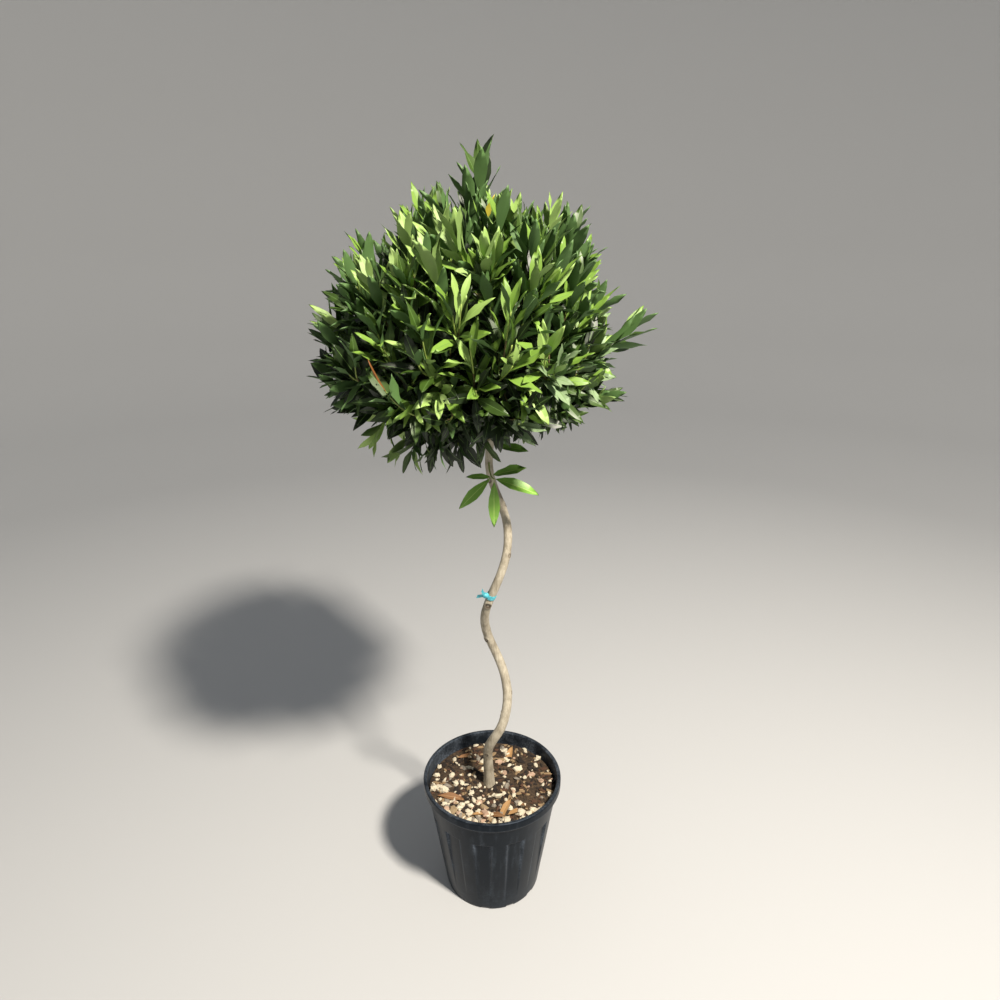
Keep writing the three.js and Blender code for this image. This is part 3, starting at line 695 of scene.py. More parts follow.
settle(tube_piece("tie_band", tie_band()[None], [tape], loop=True), "tape", "tie")
settle(tube_piece("tie_tails", tie_tails(), [tape], smooth=False), "tape")
settle(tube_piece("tie_knot", tie_knot()[None], [tape]), "tape")

# Crown: where the boughs divide it. Fifteen masses, one at the top and three rings round it, each
# stand at the end of one bough, and the crown's surface is as far as the outermost tips reach.
crown_centre = np.array([-0.035, 0, 1.420])
crown_half_width = 0.322
crown_half_height = 0.272
crown_squareness = 3
mass_depth_share = 0.43
mass_drop = 0.030
core_radial = 0.064
bough_sink_share = 0.75
bough_height_step = 0.006
bough_entry_drop = 0.045
bough_bend_share = 0.4
bough_rise = 0.22
bough_base_radius = 0.0058
bough_tip_radius = 0.0036
bough_rows = 28
bough_lumps = 0.14
# Name of each ring, its elevation and first azimuth, the height where its boughs leave the stem, its sides
mass_rings = [("lower", -40, 22, 1.190, ("front", "right", "back", "left")),
              ("middle", 0, 0, 1.225, ("front", "front_right", "back_right",
                                       "back", "back_left", "front_left")),
              ("upper", 40, 30, 1.262, ("front", "right", "back", "left"))]


def crown_reach(directions):
    """Distance from the crown's middle to its surface: a ball squared off by the crown's squareness."""
    across = np.hypot(directions[..., 0], directions[..., 1]) / crown_half_width
    rise = np.abs(directions[..., 2]) / crown_half_height
    return (across ** crown_squareness + rise ** crown_squareness) ** (-1 / crown_squareness)


def crown_share(points):
    """How far out points are, as a share of the crown's reach in their direction."""
    offset = points - crown_centre
    return np.linalg.norm(offset, axis=-1) / crown_reach(unit(offset))


def direction_at(azimuth, elevation):
    """Directions at an azimuth, from the front to the right, and an elevation."""
    return about_axis(azimuth, np.cos(elevation), np.sin(elevation))


mass_names = ["top"]
mass_outward = [(0, 0, 1)]
mass_stem_heights = [fork_point[2] - 0.004]
for ring, elevation, turn, stem_height, sides in mass_rings:
    for i, side in enumerate(sides):
        mass_names.append(f"{ring}_{side}")
        mass_outward.append(direction_at(*np.radians([turn + 360 / len(sides) * i, elevation])))
        mass_stem_heights.append(stem_height + bough_height_step * (i % 3))
mass_outward = np.array(mass_outward)
mass_centres = crown_centre + mass_outward * (mass_depth_share * crown_reach(mass_outward))[:, None]
mass_centres[:, 2] -= mass_drop

# Boughs: fifteen branches of bay wood that leave the stem near the fork and rise into the crown,
# each to one mass of foliage. Their bark is younger and greener than the stem's.
young_bark, tree, shader = new_finish("young_bay_bark", "#6f6a48", 0.7)
blotches = noise(tree, own_place(tree), 90, 4)
finished(tree, shader, ramped(tree, blotches, "#4b4730", "#8f8a66"), blotches, 0.4, 0.001)


def tube_shape(paths, radii, columns, lump=0.0, size=0.03, seed=21):
    """Rings of the given radii (..., rows) round the paths, with lumps of bark a share of the radius high."""
    outward = rings(paths, columns)
    points = paths[..., None, :] + outward * radii[..., None, None]
    return points + outward * (lump * waves(points, size, seed) * radii[..., None])[..., None]


bough_starts = stem_point(np.array(mass_stem_heights))
below = np.broadcast_to(crown_centre, mass_centres.shape).copy()
below[:, 2] = mass_centres[:, 2] - bough_entry_drop
bough_ends = mass_centres + unit(below - mass_centres) * bough_sink_share * core_radial
bough_bends = bough_starts + (bough_ends - bough_starts) * bough_bend_share
bough_bends[:, 2] += bough_rise * np.linalg.norm(bough_ends - bough_starts, axis=1)
bough_paths = curve_points(bough_starts, bough_bends, bough_ends, bough_rows)
taper = np.linspace(bough_base_radius, bough_tip_radius, bough_rows)
bough_shape = tube_shape(bough_paths, np.broadcast_to(taper, bough_paths.shape[:2]), 14, bough_lumps)
bough_nodes = [f"bough_{name}" for name in mass_names]
settle(tube_piece("boughs", bough_shape, [young_bark]), "young_bark", *bough_nodes)

# Twigs: each mass has a stem that goes on from its bough, long shoots branch from that to near the
# crown's surface, and shorter twigs branch from the shoots. Young growth is pale green, older is olive.
golden_angle = math.pi * (3 - math.sqrt(5))
shoot_total = 104
shaggy_share = 0.07
crown_lift = 1.8
under_lift = -0.05
shoots_from = 0.35
shoots_to = 0.95
end_leaf = 0.052
shoot_length = 0.120
leader_tips = np.array([(-0.020, 0, 1.754), (-0.043, -0.016, 1.700), (0.282, -0.080, 1.460)])
under_shrink = 0.17
right_shrink = 0.1
left_shrink = 0.10
# Dips in the outline, where no shoot has grown out since the last clip: tilt from upright to the right
# in degrees, half width in degrees, and depth as a share of the reach
dips = np.array([(-37, 9, 0.14), (24, 6, 0.13), (62, 7, 0.07)])
twig_total = 340
inner_twig_total = 120
under_share = 0.4
hollow_depth = 0.30
hollow_size = 0.13
twig_length = 0.110
shoot_rows = 14
twig_rows = 11
twig_bend_share = 0.55
shoot_foot_radius = 0.0025
shoot_tip_radius = 0.0013
twig_foot_radius = 0.0018
twig_tip_radius = 0.0011
# Points at the end of a shoot that no twig branches from
bare_rows = 4
# How far outer twigs stop short by chance, and how much more so underneath, as shares of the reach
outer_shortening = 0.15
under_shortening = 0.08
inner_depths = (0.60, 0.84)
# How far headings stray from the rule
outer_stray = 0.20
seen_stray = 0.12
inner_stray = 0.35
seen_clearance = 0.055
seen_lift = 1.7
# Sprays that show in front: azimuth and elevation of their place on the crown in degrees, and age from
# 0, the oldest and darkest, to 4, or 5 for one with painted sheen; the ages also paint sun and shade, with
# the oldest on the shaded lower left
seen_sprays = np.array([
    (-45, 65, 2), (-30, 45, 3), (-15, 35, 3), (-5, 42, 3), (-45, 30, 3), (-32, 33, 3), (-60, 30, 2),
    (45, 65, 3), (65, 55, 3), (35, 50, 2), (60, 45, 1), (50, 30, 2), (55, 20, 2), (0, 22, 3), (15, 20, 2),
    (-30, 8, 2), (0, 8, 3), (-9, -12, 3), (-18, -20, 2), (17, 2, 3), (25, -15, 2), (35, -8, 5),
    (45, 0, 2), (57, -12, 5), (42, -22, 1), (-55, -15, 0), (-30, -40, 0), (-10, -35, 0)])
# Sprays that hang out of the clipped underside, with their share of the whole crown's reach as well
hanging_sprays = np.array([(-60, -40, 3, 0.98), (-52, -46, 3, 0.96), (-44, -50, 1, 1.0), (-31, -52, 0, 0.95),
                           (-20, -49, 0, 0.93), (-8, -57, 0, 0.95), (12, -58, 1, 0.88)])
leaf_length = 0.086
leaf_width = 0.0200


def even_directions(count, first_turn=0.0):
    """Directions spread evenly over a ball: equal steps of height, turned by the golden angle each time."""
    index = np.arange(count)
    return direction_at(golden_angle * index + first_turn, np.arcsin(1 - 2 * (index + 0.5) / count))


def hump(value, low, rise, fall, high):
    """1 between the two middle values, and easing to 0 at the outer ones."""
    return smooth_share(value, low, rise) * (1 - smooth_share(value, fall, high))


def clipped_reach(directions):
    """The crown's reach, clipped closer underneath, on its right and on its left shoulder, less the dips.

    A dip is a bell over the tilt, and fades towards the front and back.
    """
    x, z = directions[..., 0], directions[..., 2]
    under = under_shrink * smooth_share(-z, 0.3, 0.55)
    right = right_shrink * smooth_share(x, 0.3, 0.8) * hump(z, -0.4, 0, 0.5, 0.8)
    left = left_shrink * smooth_share(-x, 0.3, 0.6) * hump(z, 0.0, 0.4, 0.75, 0.9)
    tilt = np.degrees(np.arctan2(x, z))[..., None]
    dip = np.sum(dips[:, 2] * np.exp(-((tilt - dips[:, 0]) / dips[:, 1]) ** 2), -1) * np.hypot(x, z)
    return crown_reach(directions) * (1 - under - right - left - dip)


def headings_from(directions):
    """Where shoots point: outwards, lifted on the top and sides and let droop on the underside."""
    lift = under_lift + (crown_lift - under_lift) * smooth_share(directions[:, 2], -0.7, 0.1)
    return unit(directions + lift[:, None] * [0, 0, 1])


def source_random(seed, count):
    """The source's random numbers: each state is 1664525 times the last plus 1013904223, modulo 2^32."""
    values = []
    state = seed
    for _ in range(count):
        state = (state * 1664525 + 1013904223) % 4294967296
        values.append(state / 4294967296)
    return np.array(values)


def nearest(points, others):
    """For each point, the index of the nearest of the others, and how far that is."""
    away = np.linalg.norm(points[:, None] - others[None], axis=-1)
    return away.argmin(1), away.min(1)


directions = even_directions(shoot_total)
shoot_headings = headings_from(directions)
ragged = clipped_reach(directions) * (1 - shaggy_share * source_random(7, shoot_total))
shoot_tips = crown_centre + directions * ragged[:, None] - shoot_headings * end_leaf
leader_headings = unit(np.array([(-0.02, -0.05, 1), (-0.20, -0.1, 1), (0.62, -0.12, 0.78)]))
shoot_headings = np.concatenate([shoot_headings, leader_headings])
shoot_tips = np.concatenate([shoot_tips, leader_tips - leader_headings * end_leaf])
shoot_mass = nearest(shoot_tips, mass_centres)[0]
order = np.array([np.sum(shoot_mass[:i] == mass) for i, mass in enumerate(shoot_mass)])
along = shoots_from + (shoots_to - shoots_from) * order / np.bincount(shoot_mass, minlength=15)[shoot_mass]
mass_heads = mass_centres + mass_outward * core_radial * 0.5
shoot_bases = bough_ends[shoot_mass] + (mass_heads - bough_ends)[shoot_mass] * along[:, None]
shoot_bends = shoot_tips - shoot_headings * shoot_length / 2
shoot_paths = curve_points(shoot_bases, shoot_bends, shoot_tips, shoot_rows)

dice = np.random.default_rng(8)
outer = even_directions(twig_total, 1.0)
outer = outer[(outer[:, 2] > -0.5) | (dice.random(twig_total) < under_share)]
hollow = smooth_share(waves(outer * crown_half_width, hollow_size, 31), 0.0, 0.4)
underneath = smooth_share(-outer[:, 2], 0.1, 0.6)
shortening = outer_shortening + under_shortening * underneath
shortened = 1.02 - shortening * dice.random(len(outer)) ** 1.2 - hollow_depth * hollow
outer_ends = crown_centre + outer * (clipped_reach(outer) * shortened)[:, None]
outer_headings = unit(headings_from(outer) + outer_stray * dice.normal(size=outer.shape))
shown = np.concatenate([seen_sprays, hanging_sprays[:, :3]])
seen = direction_at(*np.radians(shown[:, :2]).T)
seen_reach = clipped_reach(seen)
seen_reach[len(seen_sprays):] = hanging_sprays[:, 3] * crown_reach(seen[len(seen_sprays):])
seen_ends = crown_centre + seen * seen_reach[:, None]
seen_rise = seen_lift * smooth_share(seen[:, 2], -0.4, 0.45)
seen_headings = unit(seen + seen_rise[:, None] * [0, 0, 1] + seen_stray * dice.normal(size=seen.shape))
clear = nearest(outer_ends, seen_ends)[1] > seen_clearance
inner = even_directions(inner_twig_total, 2.0)
inner_reach = clipped_reach(inner) * dice.uniform(*inner_depths, inner_twig_total)
inner_ends = crown_centre + inner * inner_reach[:, None]
inner_headings = unit(headings_from(inner) + inner_stray * dice.normal(size=inner.shape))
twig_headings = np.concatenate([outer_headings[clear], seen_headings, inner_headings])
twig_tips = np.concatenate([outer_ends[clear], seen_ends, inner_ends]) - twig_headings * end_leaf
# 0 for the even outer twigs, 1 for the ones that show and 2 for the inner ones
twig_kind = np.repeat([0, 1, 2], [clear.sum(), len(seen_ends), inner_twig_total])
feet = shoot_paths[:, :-bare_rows].reshape(-1, 3)
foot_of = nearest(twig_tips - twig_headings * twig_length, feet)[0]
twig_starts = feet[foot_of]
twig_spans = np.linalg.norm(twig_tips - twig_starts, axis=1, keepdims=True)
bend = twig_tips - twig_headings * twig_bend_share * twig_spans
twig_paths = curve_points(twig_starts, bend, twig_tips, twig_rows)
twig_mass = shoot_mass[foot_of // (shoot_rows - bare_rows)]

# Young bay twigs: green skin, smooth and a little waxy, olive once a year old
green_twig = new_finish("green_bay_twig", "#93a552", 0.5)[0]
olive_twig = new_finish("olive_bay_twig", "#66593a", 0.65)[0]


def twig_piece(name, paths, foot_radius, tip_radius, columns, green_from):
    """Twigs in one mesh, tapering evenly, with the rows past a share of the length in the green finish."""
    count, rows, _ = paths.shape
    radii = np.broadcast_to(np.linspace(foot_radius, tip_radius, rows), (count, rows))
    shape = tube_shape(paths, radii, columns, 0.1, 0.02)
    green = np.linspace(0, 1, rows - 1) >= green_from
    tints = np.concatenate([np.tile(np.repeat(green, columns), count),
                            np.tile(np.repeat([False, True], columns), count)])
    return tube_piece(name, shape, [olive_twig, green_twig], finish_of_faces=tints)


foliage_nodes = [f"foliage_{name}" for name in mass_names]
mass_stems = np.stack([bough_ends, (bough_ends + mass_heads) / 2, mass_heads], 1)
settle(twig_piece("mass_stems", mass_stems, bough_tip_radius, shoot_foot_radius, 8, 2), "young_bark")
settle(twig_piece("shoots", shoot_paths, shoot_foot_radius, shoot_tip_radius, 6, 0.55), "young_bark")
settle(twig_piece("twigs", twig_paths, twig_foot_radius, twig_tip_radius, 5, 0.45), "foliage")

# Leaves: bay leaves stand one at each golden-angle turn along the end of every twig, small and close
# to it at its tip and leaning further out below. They are leathery, glossy above and paler beneath,
# with a pale midrib and a wavy edge. The leaves of one twig are of nearly one age, so of nearly one green.
leaves_per_spray = 12
leaf_spacing = 0.0095
leaf_first_lean = 9
leaf_lean_step = 4.2
leaf_thickness = 0.00045
leaf_overshoot = 1.04
top_overshoot = 0.07
# The waves of a leaf's margin along it, and how far those of its two sides are out of step
edge_wave = 0.0032
edge_waves = 1.7
edge_shift = 1.9
# How much leaves of one kind differ in shape
breadth_power = 0.8
breadth_spread = (0.84, 1.16)
twist_spread = 0.35
wave_spread = (0.4, 1.4)
fold_range = (0.05, 0.42)
# The first leaves from a tip are smaller, and each leans by a little more or less than the rule
tip_sizes = (0.66, 0.8, 0.92, 1.0)
size_spread = (0.84, 1.14)
tip_gap = 0.001
lean_spread = (-5, 9)
most_lean = 84
leaf_droop = 0.20
leaf_light = 0.3
upward_pull = 1.6
stem_clearance = 0.03
depth_margin = 0.004
# Heights between which leaves turn upright, stop being painted older and darker for standing low, and may
# stand out of the top; and how far to the left the low ones get darker still, as painted shade
upright_span = (1.24, 1.58)
low_span = (1.34, 1.46)
top_span = (1.46, 1.56)
left_span = (0.05, 0.2)
low_lean_share = 1.4
lean_share_loss = 0.95
# A spray's tint is newer and lighter the higher it stands, the further out it is, and by chance; low down it
# is older and darker. This is partly real age and partly painted sunlight and shade
light_and_newness_by_height = 0.62
light_and_newness_outwards = 1.6
light_and_newness_share = 0.85
light_and_newness_spread = 0.24
low_age_and_shade = 0.2
low_left_shade = 0.25
age_steps = [0.08, 0.42, 0.80, 1.10]
# Leaves from this one on, counted from the tip, are a step older
older_from = 8
# Sprays with a painted sheen, pale grey-green as if glossed by light, stand on the lower right, by this
# chance
sheen_chance = 0.30
sheen_top = 1.45
sheen_left = 0.03
yellow_chance = 0.0006
dead_chance = 0.0004
# Places of the two faded leaves that show, and their tints: yellowing by the leader, and dead on the left
faded_places = np.array([(0.016, -0.10, 1.67), (-0.163, -0.295, 1.393)])
faded_ages = (6, 7)
# Share of the length, and of the half width there, of each row of a blade; its foot is the stalk
blade_rows = np.array([(0.07, 0.07), (0.21, 0.52), (0.39, 0.90), (0.57, 1.0), (0.75, 0.76), (0.91, 0.34)])
blade_columns = np.array([-1, -0.05, 0.05, 1, 0])


def leaf_blades(length, width, arch, twist, wave, phase, fold):
    """Closed thin blades along +X with the upper face up, and their foot and tip, one for each leaf.

    The midrib is an arc that turns down by the angle arch. Across it a blade rises by the fold times the
    distance from the rib, and its edge waves up and down by the wave. The last column is the underside.
    """
    share = blade_rows[:, 0][None, :, None]
    length, width, arch, twist, wave, phase, fold = (v[:, None, None] for v in
                                                     (length, width, arch, twist, wave, phase, fold))
    across = blade_columns * blade_rows[:, 1][:, None] * width / 2
    turn = 2 * math.pi * edge_waves * share + phase + edge_shift * np.sign(blade_columns)
    ripple = wave * blade_columns ** 2 * np.sin(turn) * blade_rows[:, 1][:, None]
    raised = fold * np.abs(across) + ripple
    raised = np.where(np.arange(5) == 4, -leaf_thickness, raised)
    turned_across = across * np.cos(twist * share) - raised * np.sin(twist * share)
    turned_raised = across * np.sin(twist * share) + raised * np.cos(twist * share)
    bent = arch * share
    x = length * np.sin(bent) / arch + turned_raised * np.sin(bent)
    z = -length * (1 - np.cos(bent)) / arch + turned_raised * np.cos(bent)
    blades = np.stack([x, turned_across, z], -1)
    tip = np.stack([length * np.sin(arch) / arch, 0 * arch, -length * (1 - np.cos(arch)) / arch], -1)[:, :, 0]
    return blades, np.concatenate([0 * tip, tip], 1)


def leaf_axes(shoots, lean, turn):
    """Directions along, across and out of the upper face of leaves that lean away from their shoots.

    The side that a leaf leans to starts level and is turned round the shoot by the turn.
    """
    level = unit(np.cross([0, 0, 1.0], shoots) + [1e-6, 0, 0])
    other = np.cross(shoots, level)
    side = np.cos(turn)[..., None] * level + np.sin(turn)[..., None] * other
    along = shoots * np.cos(lean)[..., None] + side * np.sin(lean)[..., None]
    face = shoots * np.sin(lean)[..., None] - side * np.cos(lean)[..., None]
    return along, face


def hung(along, face, droop, light):
    """Lets leaves sink by the droop, and turns each on its midrib so that it faces up by the share light."""
    along = unit(along - droop * np.array([0, 0, 1.0]))
    upward = np.array([0, 0, 1.0]) - along * along[..., 2:]
    face = unit(face - along * np.sum(face * along, -1, keepdims=True))
    face = face * (1 - light) + upward * light * upward_pull
    return along, unit(face - along * np.sum(face * along, -1, keepdims=True))


def leaf_piece(name, roots, along, face, sizes, finishes, tints, dice, slot="foliage", arch=(0.1, 0.9),
               breadth=1.0):
    """Leaves in one mesh. Tints are the finishes of each leaf's upper face, midrib and underside.

    The rows of a blade are smooth-shaded, and its margins are sharp edges.
    """
    count = len(roots)
    widths = breadth * leaf_width * sizes ** breadth_power * dice.uniform(*breadth_spread, count)
    blades, ends = leaf_blades(leaf_length * sizes, widths,
                               dice.uniform(*arch, count), dice.normal(0, twist_spread, count),
                               edge_wave * sizes * dice.uniform(*wave_spread, count),
                               dice.uniform(0, 2 * math.pi, count), dice.uniform(*fold_range, count))
    axes = np.stack([along, np.cross(face, along), face], 1)
    blades = np.einsum("nrcj,nji->nrci", blades, axes) + roots[:, None, None]
    ends = np.einsum("npj,nji->npi", ends, axes) + roots[:, None]
    rows, columns = blades.shape[1:3]
    tops = np.repeat(tints[:, :1], columns, 1)
    tops[:, 1] = tints[:, 1]
    tops[:, 3:] = tints[:, 2:]
    quads = np.repeat(tops[:, None], rows - 1, 1)
    fans = np.concatenate([np.repeat(tints[:, 1:2], columns, 1), tops], 1)
    finish_of_faces = np.concatenate([quads.ravel(), fans.ravel()])
    # Both faces of a blade split along the same diagonals, so that a wavy one doesn't cross itself
    piece = tube_piece(name, blades, finishes, ends, finish_of_faces=finish_of_faces, under=3)
    edges = np.empty(2 * len(piece.data.edges), np.int32)
    piece.data.edges.foreach_get("vertices", edges)
    place = edges.reshape(-1, 2) % (rows * columns + 2)
    column = np.where(place < rows * columns, place % columns, -1)
    margin = (column[:, 0] == column[:, 1]) & ((column[:, 0] == 0) | (column[:, 0] == 3))
    sharp = piece.data.attributes.new("sharp_edge", "BOOLEAN", "EDGE")
    sharp.data.foreach_set("value", margin)
    return settle(piece, slot)


# Bay leaves: waxy, so a soft gloss over green. Darker with age, lime when new, a few yellow or brown,
# and some with a painted grey-green sheen. The tints of age also paint sun and shade
leaf_finishes = [new_finish(f"bay_{name}", colour, rough)[0] for name, colour, rough in
                 (("midrib_old", "#5f7d42", 0.5), ("midrib_new", "#9ab263", 0.5),
                  ("underside_old", "#4c6b38", 0.6), ("underside_new", "#7f9b56", 0.6),
                  ("leaf_oldest", "#18270c", 0.45), ("leaf_old", "#364e17", 0.45),
                  ("leaf_grown", "#6f9038", 0.47), ("leaf_fresh", "#8ba958", 0.52),
                  ("leaf_newest", "#8ca563", 0.54), ("leaf_painted_sheen", "#7a9069", 0.54),
                  ("leaf_yellowing", "#b5a83c", 0.45), ("leaf_dead", "#7c4e22", 0.6))]
# Upper face, midrib and underside of each age, then of leaves with painted sheen, yellowing and dead
age_tints = np.array([(4, 0, 2), (5, 0, 2), (6, 0, 2), (7, 1, 3), (8, 1, 3), (9, 0, 3), (10, 1, 10),
                      (11, 11, 11)])


def spray_leaves(paths, count, spacing, dice, first_lean, lean_step):
    """Roots, directions, faces and sizes of the leaves of many twigs: (twigs, leaves, 3).

    Leaves stand back from the tip by even steps. The nth leans by the first lean plus n lean steps.
    """
    steps = np.linalg.norm(np.diff(paths, axis=1), axis=-1)
    lengths = steps.sum(1)
    back = spacing * np.arange(count) + tip_gap
    share = np.clip(1 - back[None] / lengths[:, None], 0.06, 1) * (paths.shape[1] - 1)
    low = np.minimum(share.astype(int), paths.shape[1] - 2)
    twig = np.arange(len(paths))[:, None]
    ahead = (share - low)[..., None]
    roots = paths[twig, low] * (1 - ahead) + paths[twig, low + 1] * ahead
    shoots = unit(paths[twig, low + 1] - paths[twig, low])
    order = np.arange(count)
    lean = first_lean + np.reshape(lean_step, (-1, 1)) * order + dice.uniform(*lean_spread, roots.shape[:2])
    turn = golden_angle * order + dice.uniform(0, 2 * math.pi, len(paths))[:, None]
    along, face = leaf_axes(shoots, np.radians(np.minimum(lean, most_lean)), turn)
    sizes = np.interp(order, range(len(tip_sizes)), tip_sizes) * dice.uniform(*size_spread, lean.shape)
    return roots, along, face, sizes


dice = np.random.default_rng(9)
crown_twigs = np.concatenate([twig_paths, shoot_paths[:shoot_total, -twig_rows:]])
crown_mass = np.concatenate([twig_mass, shoot_mass[:shoot_total]])
kind = np.concatenate([twig_kind, np.zeros(shoot_total, int)])
tips = crown_twigs[:, -1]
height_share = smooth_share(tips[:, 2], *upright_span)
roots, along, face, sizes = spray_leaves(crown_twigs, leaves_per_spray, leaf_spacing, dice, leaf_first_lean,
                                         leaf_lean_step * (low_lean_share - lean_share_loss * height_share))
along, face = hung(along, face, (leaf_droop * (1 - height_share))[:, None, None], leaf_light)
newness_and_light = light_and_newness_by_height * height_share + light_and_newness_outwards * (crown_share(tips) - light_and_newness_share)
newness_and_light += dice.normal(0, light_and_newness_spread, len(tips))
low_down = smooth_share(-tips[:, 2], -low_span[1], -low_span[0])
# Painted shade: low sprays take older, darker tints, the more so on the left
newness_and_light -= (low_age_and_shade + low_left_shade * smooth_share(-tips[:, 0], *left_span)) * low_down
age = np.digitize(newness_and_light, age_steps)
age[kind == 1] = shown[:, 2]
# Inner sprays take the darkest tints: old leaves, and painted shade inside the crown
age[kind == 2] = dice.choice([0, 0, 1], inner_twig_total)
# Painted sheen: some sprays on the lower right, and seen sprays of age 5, take a pale grey-green as if
# glossed by light
painted_sheen = (kind != 2) & (dice.random(len(age)) < sheen_chance)
painted_sheen &= (tips[:, 2] < sheen_top) & (tips[:, 0] > sheen_left)
painted_sheen |= age == 5
age[painted_sheen] = 2
age = np.repeat(age[:, None], leaves_per_spray, 1) + dice.choice([-1, 0, 0, 0, 0, 1], roots.shape[:2])
age = np.clip(age, 0, 4)
age[:, older_from:] = np.maximum(age[:, older_from:] - 1, 0)
age[painted_sheen, :older_from] = 5
chance = dice.random(age.shape)
age[chance < yellow_chance] = 6
age[chance > 1 - dead_chance] = 7
ends = roots + along * (leaf_length * sizes)[..., None]
stem_away = np.linalg.norm(ends - stem_point(np.clip(ends[..., 2], mix_top, fork_point[2])), axis=-1)
offset = ends - crown_centre
clipped_share = np.linalg.norm(offset, axis=-1) / clipped_reach(unit(offset))
allowed = leaf_overshoot + top_overshoot * smooth_share(ends[..., 2], *top_span)
within = np.where((kind == 1)[:, None], crown_share(ends), clipped_share) < allowed
within &= np.abs(ends[..., 1]) < crown_half_width - depth_margin
kept = within & ((stem_away > stem_clearance) | (ends[..., 2] > fork_point[2]))
for spot, faded in zip(faded_places, faded_ages):
    away = np.where(kept, np.linalg.norm((roots + ends) / 2 - spot, axis=-1), 1)
    age[np.unravel_index(away.argmin(), age.shape)] = faded
# Masses and range of arch of each tier's leaves: upright and nearly straight above, arching below
tiers = {"leaves_upper": (("top", "upper"), (0.02, 0.4)), "leaves_middle": (("middle",), (0.04, 0.6)),
         "leaves_lower": (("lower",), (0.1, 0.9))}
for piece_name, (tier_names, arch) in tiers.items():
    inside = np.array([name.startswith(tier_names) for name in mass_names])
    chosen = kept & inside[crown_mass][:, None]
    piece = leaf_piece(piece_name, roots[chosen], along[chosen], face[chosen], sizes[chosen], leaf_finishes,
                       age_tints[age[chosen]], dice, arch=arch)
    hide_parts(*[node for node, held in zip(foliage_nodes, inside) if held])

# Leaders: the three shoots that have grown out of the ball since it was clipped, two at the top and
# one on the right, with upright leaves round each end
leader_leaves = 8
leader_spacing = 0.009
leader_lean = 9
leader_lean_step = 2.2
leader_size = 1.12
dice = np.random.default_rng(12)
roots, along, face, sizes = spray_leaves(shoot_paths[shoot_total:], leader_leaves, leader_spacing, dice,
                                         leader_lean, leader_lean_step)
sizes = leader_size * np.maximum(sizes, 0.94)
# The top two leaders take older, darker tints: painted shade
leader_age_and_shade = np.array([1, 1, 2])[:, None] - dice.choice([0, 0, 1], (3, leader_leaves))
flat = lambda values: values.reshape(-1, *values.shape[2:])
leaf_piece("leaves_leaders", flat(roots), flat(along), flat(face), flat(sizes), leaf_finishes,
           age_tints[leader_age_and_shade.ravel()], dice, arch=(0.05, 0.5), breadth=1.05)

# Low sprout: a fresh shoot from the stem just under the crown, which arches forward and hangs, with
# five soft bright leaves round its end, and a lone leaf on the stem a little higher
sprout_height = 1.152
sprout_drop = 0.026
sprout_forward = 0.058
sprout_aside = 0.012
# Distance of each leaf from the sprout's tip, its azimuth, its elevation and its size, the lone leaf last
sprout_leaves = np.array([(0.001, 0, -72, 1.22), (0.012, -74, -40, 1.15), (0.006, 76, -12, 1.22),
                          (0.018, 66, 20, 0.98), (0.012, -60, 12, 0.70), (0, 56, 4, 0.92)])
lone_leaf_height = 1.188
lone_leaf_place = np.array([0.012, -0.010, 0])

foot = stem_point(np.array(sprout_height))
tip = foot + [sprout_aside, -sprout_forward, -sprout_drop]
bend = np.array([foot[0], tip[1] + sprout_forward / 3, tip[2]])
sprout_path = curve_points(foot, bend, tip, 12)
roots = points_along(sprout_path, walked(sprout_path)[-1] - sprout_leaves[:, 0])
roots[-1] = stem_point(np.array(lone_leaf_height)) + lone_leaf_place
along = direction_at(*np.radians(sprout_leaves[:, 1:3]).T)
dice = np.random.default_rng(3)
along, face = hung(along, unit(np.array([0, -0.8, 0.6]) + 0 * along), 0, 0.1)
# New bay leaves: thin, soft and bright yellow-green
sprout_finishes = [new_finish("sprout_midrib", "#b4cf74", 0.5)[0], leaf_finishes[3],
                   new_finish("sprout_leaf", "#7cab46", 0.46)[0]]
settle(twig_piece("sprout_twig", sprout_path[None], 0.0019, 0.0013, 7, 0.0), "foliage")
sprout = leaf_piece("sprout_leaves", roots, along, face, sprout_leaves[:, 3], sprout_finishes,
                    np.tile([2, 0, 1], (len(roots), 1)), dice, arch=(0.1, 0.45), breadth=1.22)
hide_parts("foliage_low_sprout")

# Fallen leaves: old bay leaves that lie dry and curled on the mix at the front
fallen_places = np.array([(-0.022, -0.112), (0.010, -0.118), (0.058, -0.108), (0.086, -0.080),
                          (0.034, -0.094), (-0.110, -0.056), (0.045, 0.105), (-0.070, 0.095)])
fallen_turns = np.radians([75, -60, 48, 38, -150, 95, 200, 60])
fallen_sizes = (0.72, 0.92)
# How high the middle of a curled leaf is above the mix, and how far back from there it starts
fallen_lift = 0.011
fallen_setback = 0.03
dice = np.random.default_rng(14)
count = len(fallen_places)
roots = np.concatenate([fallen_places, (mix_height(*fallen_places.T) + fallen_lift)[:, None]], 1)
along = unit(np.stack([np.sin(fallen_turns), np.cos(fallen_turns), dice.normal(0, 0.12, count)], -1))
along, face = hung(along, np.broadcast_to([0, 0, 1.0], along.shape), 0, 0.8)
# Dead bay leaves: tan to orange-brown, dull and brittle
fallen_finishes = finishes_of("dead_leaf", 0.7, rib="#b39066", back="#876648", tan="#a27c4f", brown="#7f5a38")
leaf_piece("fallen_leaves", roots - along * fallen_setback, along, face, dice.uniform(*fallen_sizes, count),
           fallen_finishes, np.tile([(2, 0, 1), (3, 0, 1)], (count // 2, 1)), dice, slot="potting_mix",
           arch=(0.5, 1.3))

# Floor and backdrop: one pale round sheet that curves up all round, as in a photographer's cove
floor_radius = 7.0
backdrop_height = 6.5
backdrop_bend = 3.0
backdrop_columns = 96
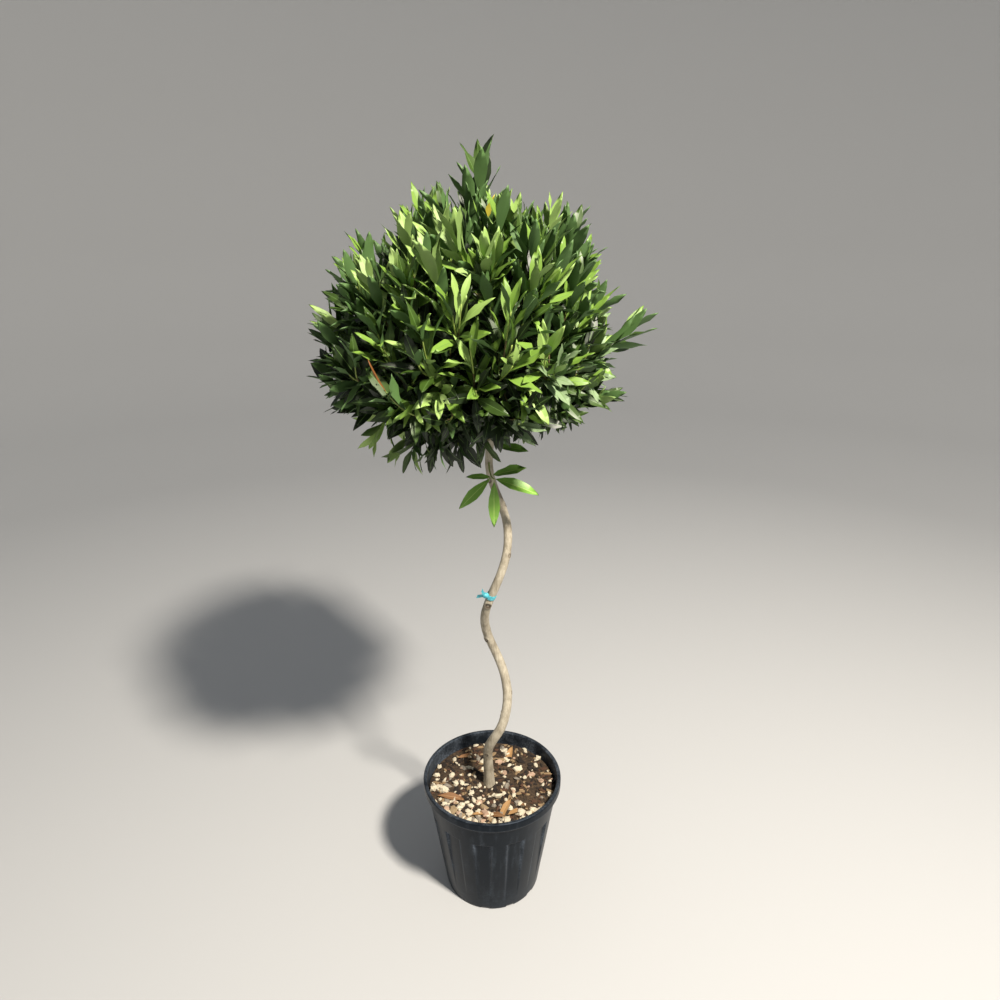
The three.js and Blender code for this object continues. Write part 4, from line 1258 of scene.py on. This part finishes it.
# The sheet starts on this circle under the pot, and a fan round one point closes it
floor_start = 0.02
line = rounded([(floor_start, 0), (floor_radius, 0), (floor_radius, backdrop_height)], backdrop_bend)
cove = turned(line, backdrop_columns)
mesh = bpy.data.meshes.new("studio_floor")
quads, fans = tube_faces(1, len(line), backdrop_columns)
faces = quads.tolist() + [[b, a, c] for a, b, c in fans[:backdrop_columns].tolist()]
mesh.from_pydata(cove.reshape(-1, 3).tolist() + [(0, 0, 0)], [], faces)
mesh.polygons.foreach_set("use_smooth", np.full(len(mesh.polygons), True))
paper, tree, shader = new_finish("backdrop_paper", "#bfc0c1", 0.9)
mesh.materials.append(paper)
new_object("studio_floor", mesh)


# Light: a soft key from the upper right in front, as the sun stood, a weak fill and a pale room
def softbox(name, place, target, size, power, colour):
    """A square area light that faces the target."""
    light = bpy.data.lights.new(name, "AREA")
    light.size = size
    light.energy = power
    light.color = linear(colour)[:3]
    lamp = new_object(name, light)
    lamp.location = place
    look = np.array(target) - np.array(place)
    tilt = math.atan2(math.hypot(look[0], look[1]), -look[2])
    lamp.rotation_euler = (tilt, 0, math.atan2(look[1], look[0]) - math.pi / 2)


softbox("key", place=(1.65, -2.1, 4.1), target=(0, 0, 1.15), size=0.45, power=395, colour="#fff6e8")
softbox("fill", place=(2.8, -2.4, 2.2), target=(0, 0, 1.0), size=2.4, power=6, colour="#e4eeff")
room_strength = 0.34
world = bpy.data.worlds.new("studio_room")
world.use_nodes = True
room = world.node_tree.nodes["Background"]
room.inputs["Color"].default_value = linear("#e3e9f0")
room.inputs["Strength"].default_value = room_strength
bpy.context.scene.world = world

# Camera: a phone held at head height a step and a half in front, looking a little down
camera_place = (0.02, -1.46, 1.573)
camera_pitch = 19.32
camera_lens = 25.2
sensor_width = 36
camera = new_object("camera", bpy.data.cameras.new("camera"))
camera.data.lens = camera_lens
camera.data.sensor_width = sensor_width
camera.location = camera_place
camera.rotation_euler = (math.radians(90 - camera_pitch), 0, 0)
bpy.context.scene.camera = camera
bpy.context.scene.view_settings.view_transform = "Standard"
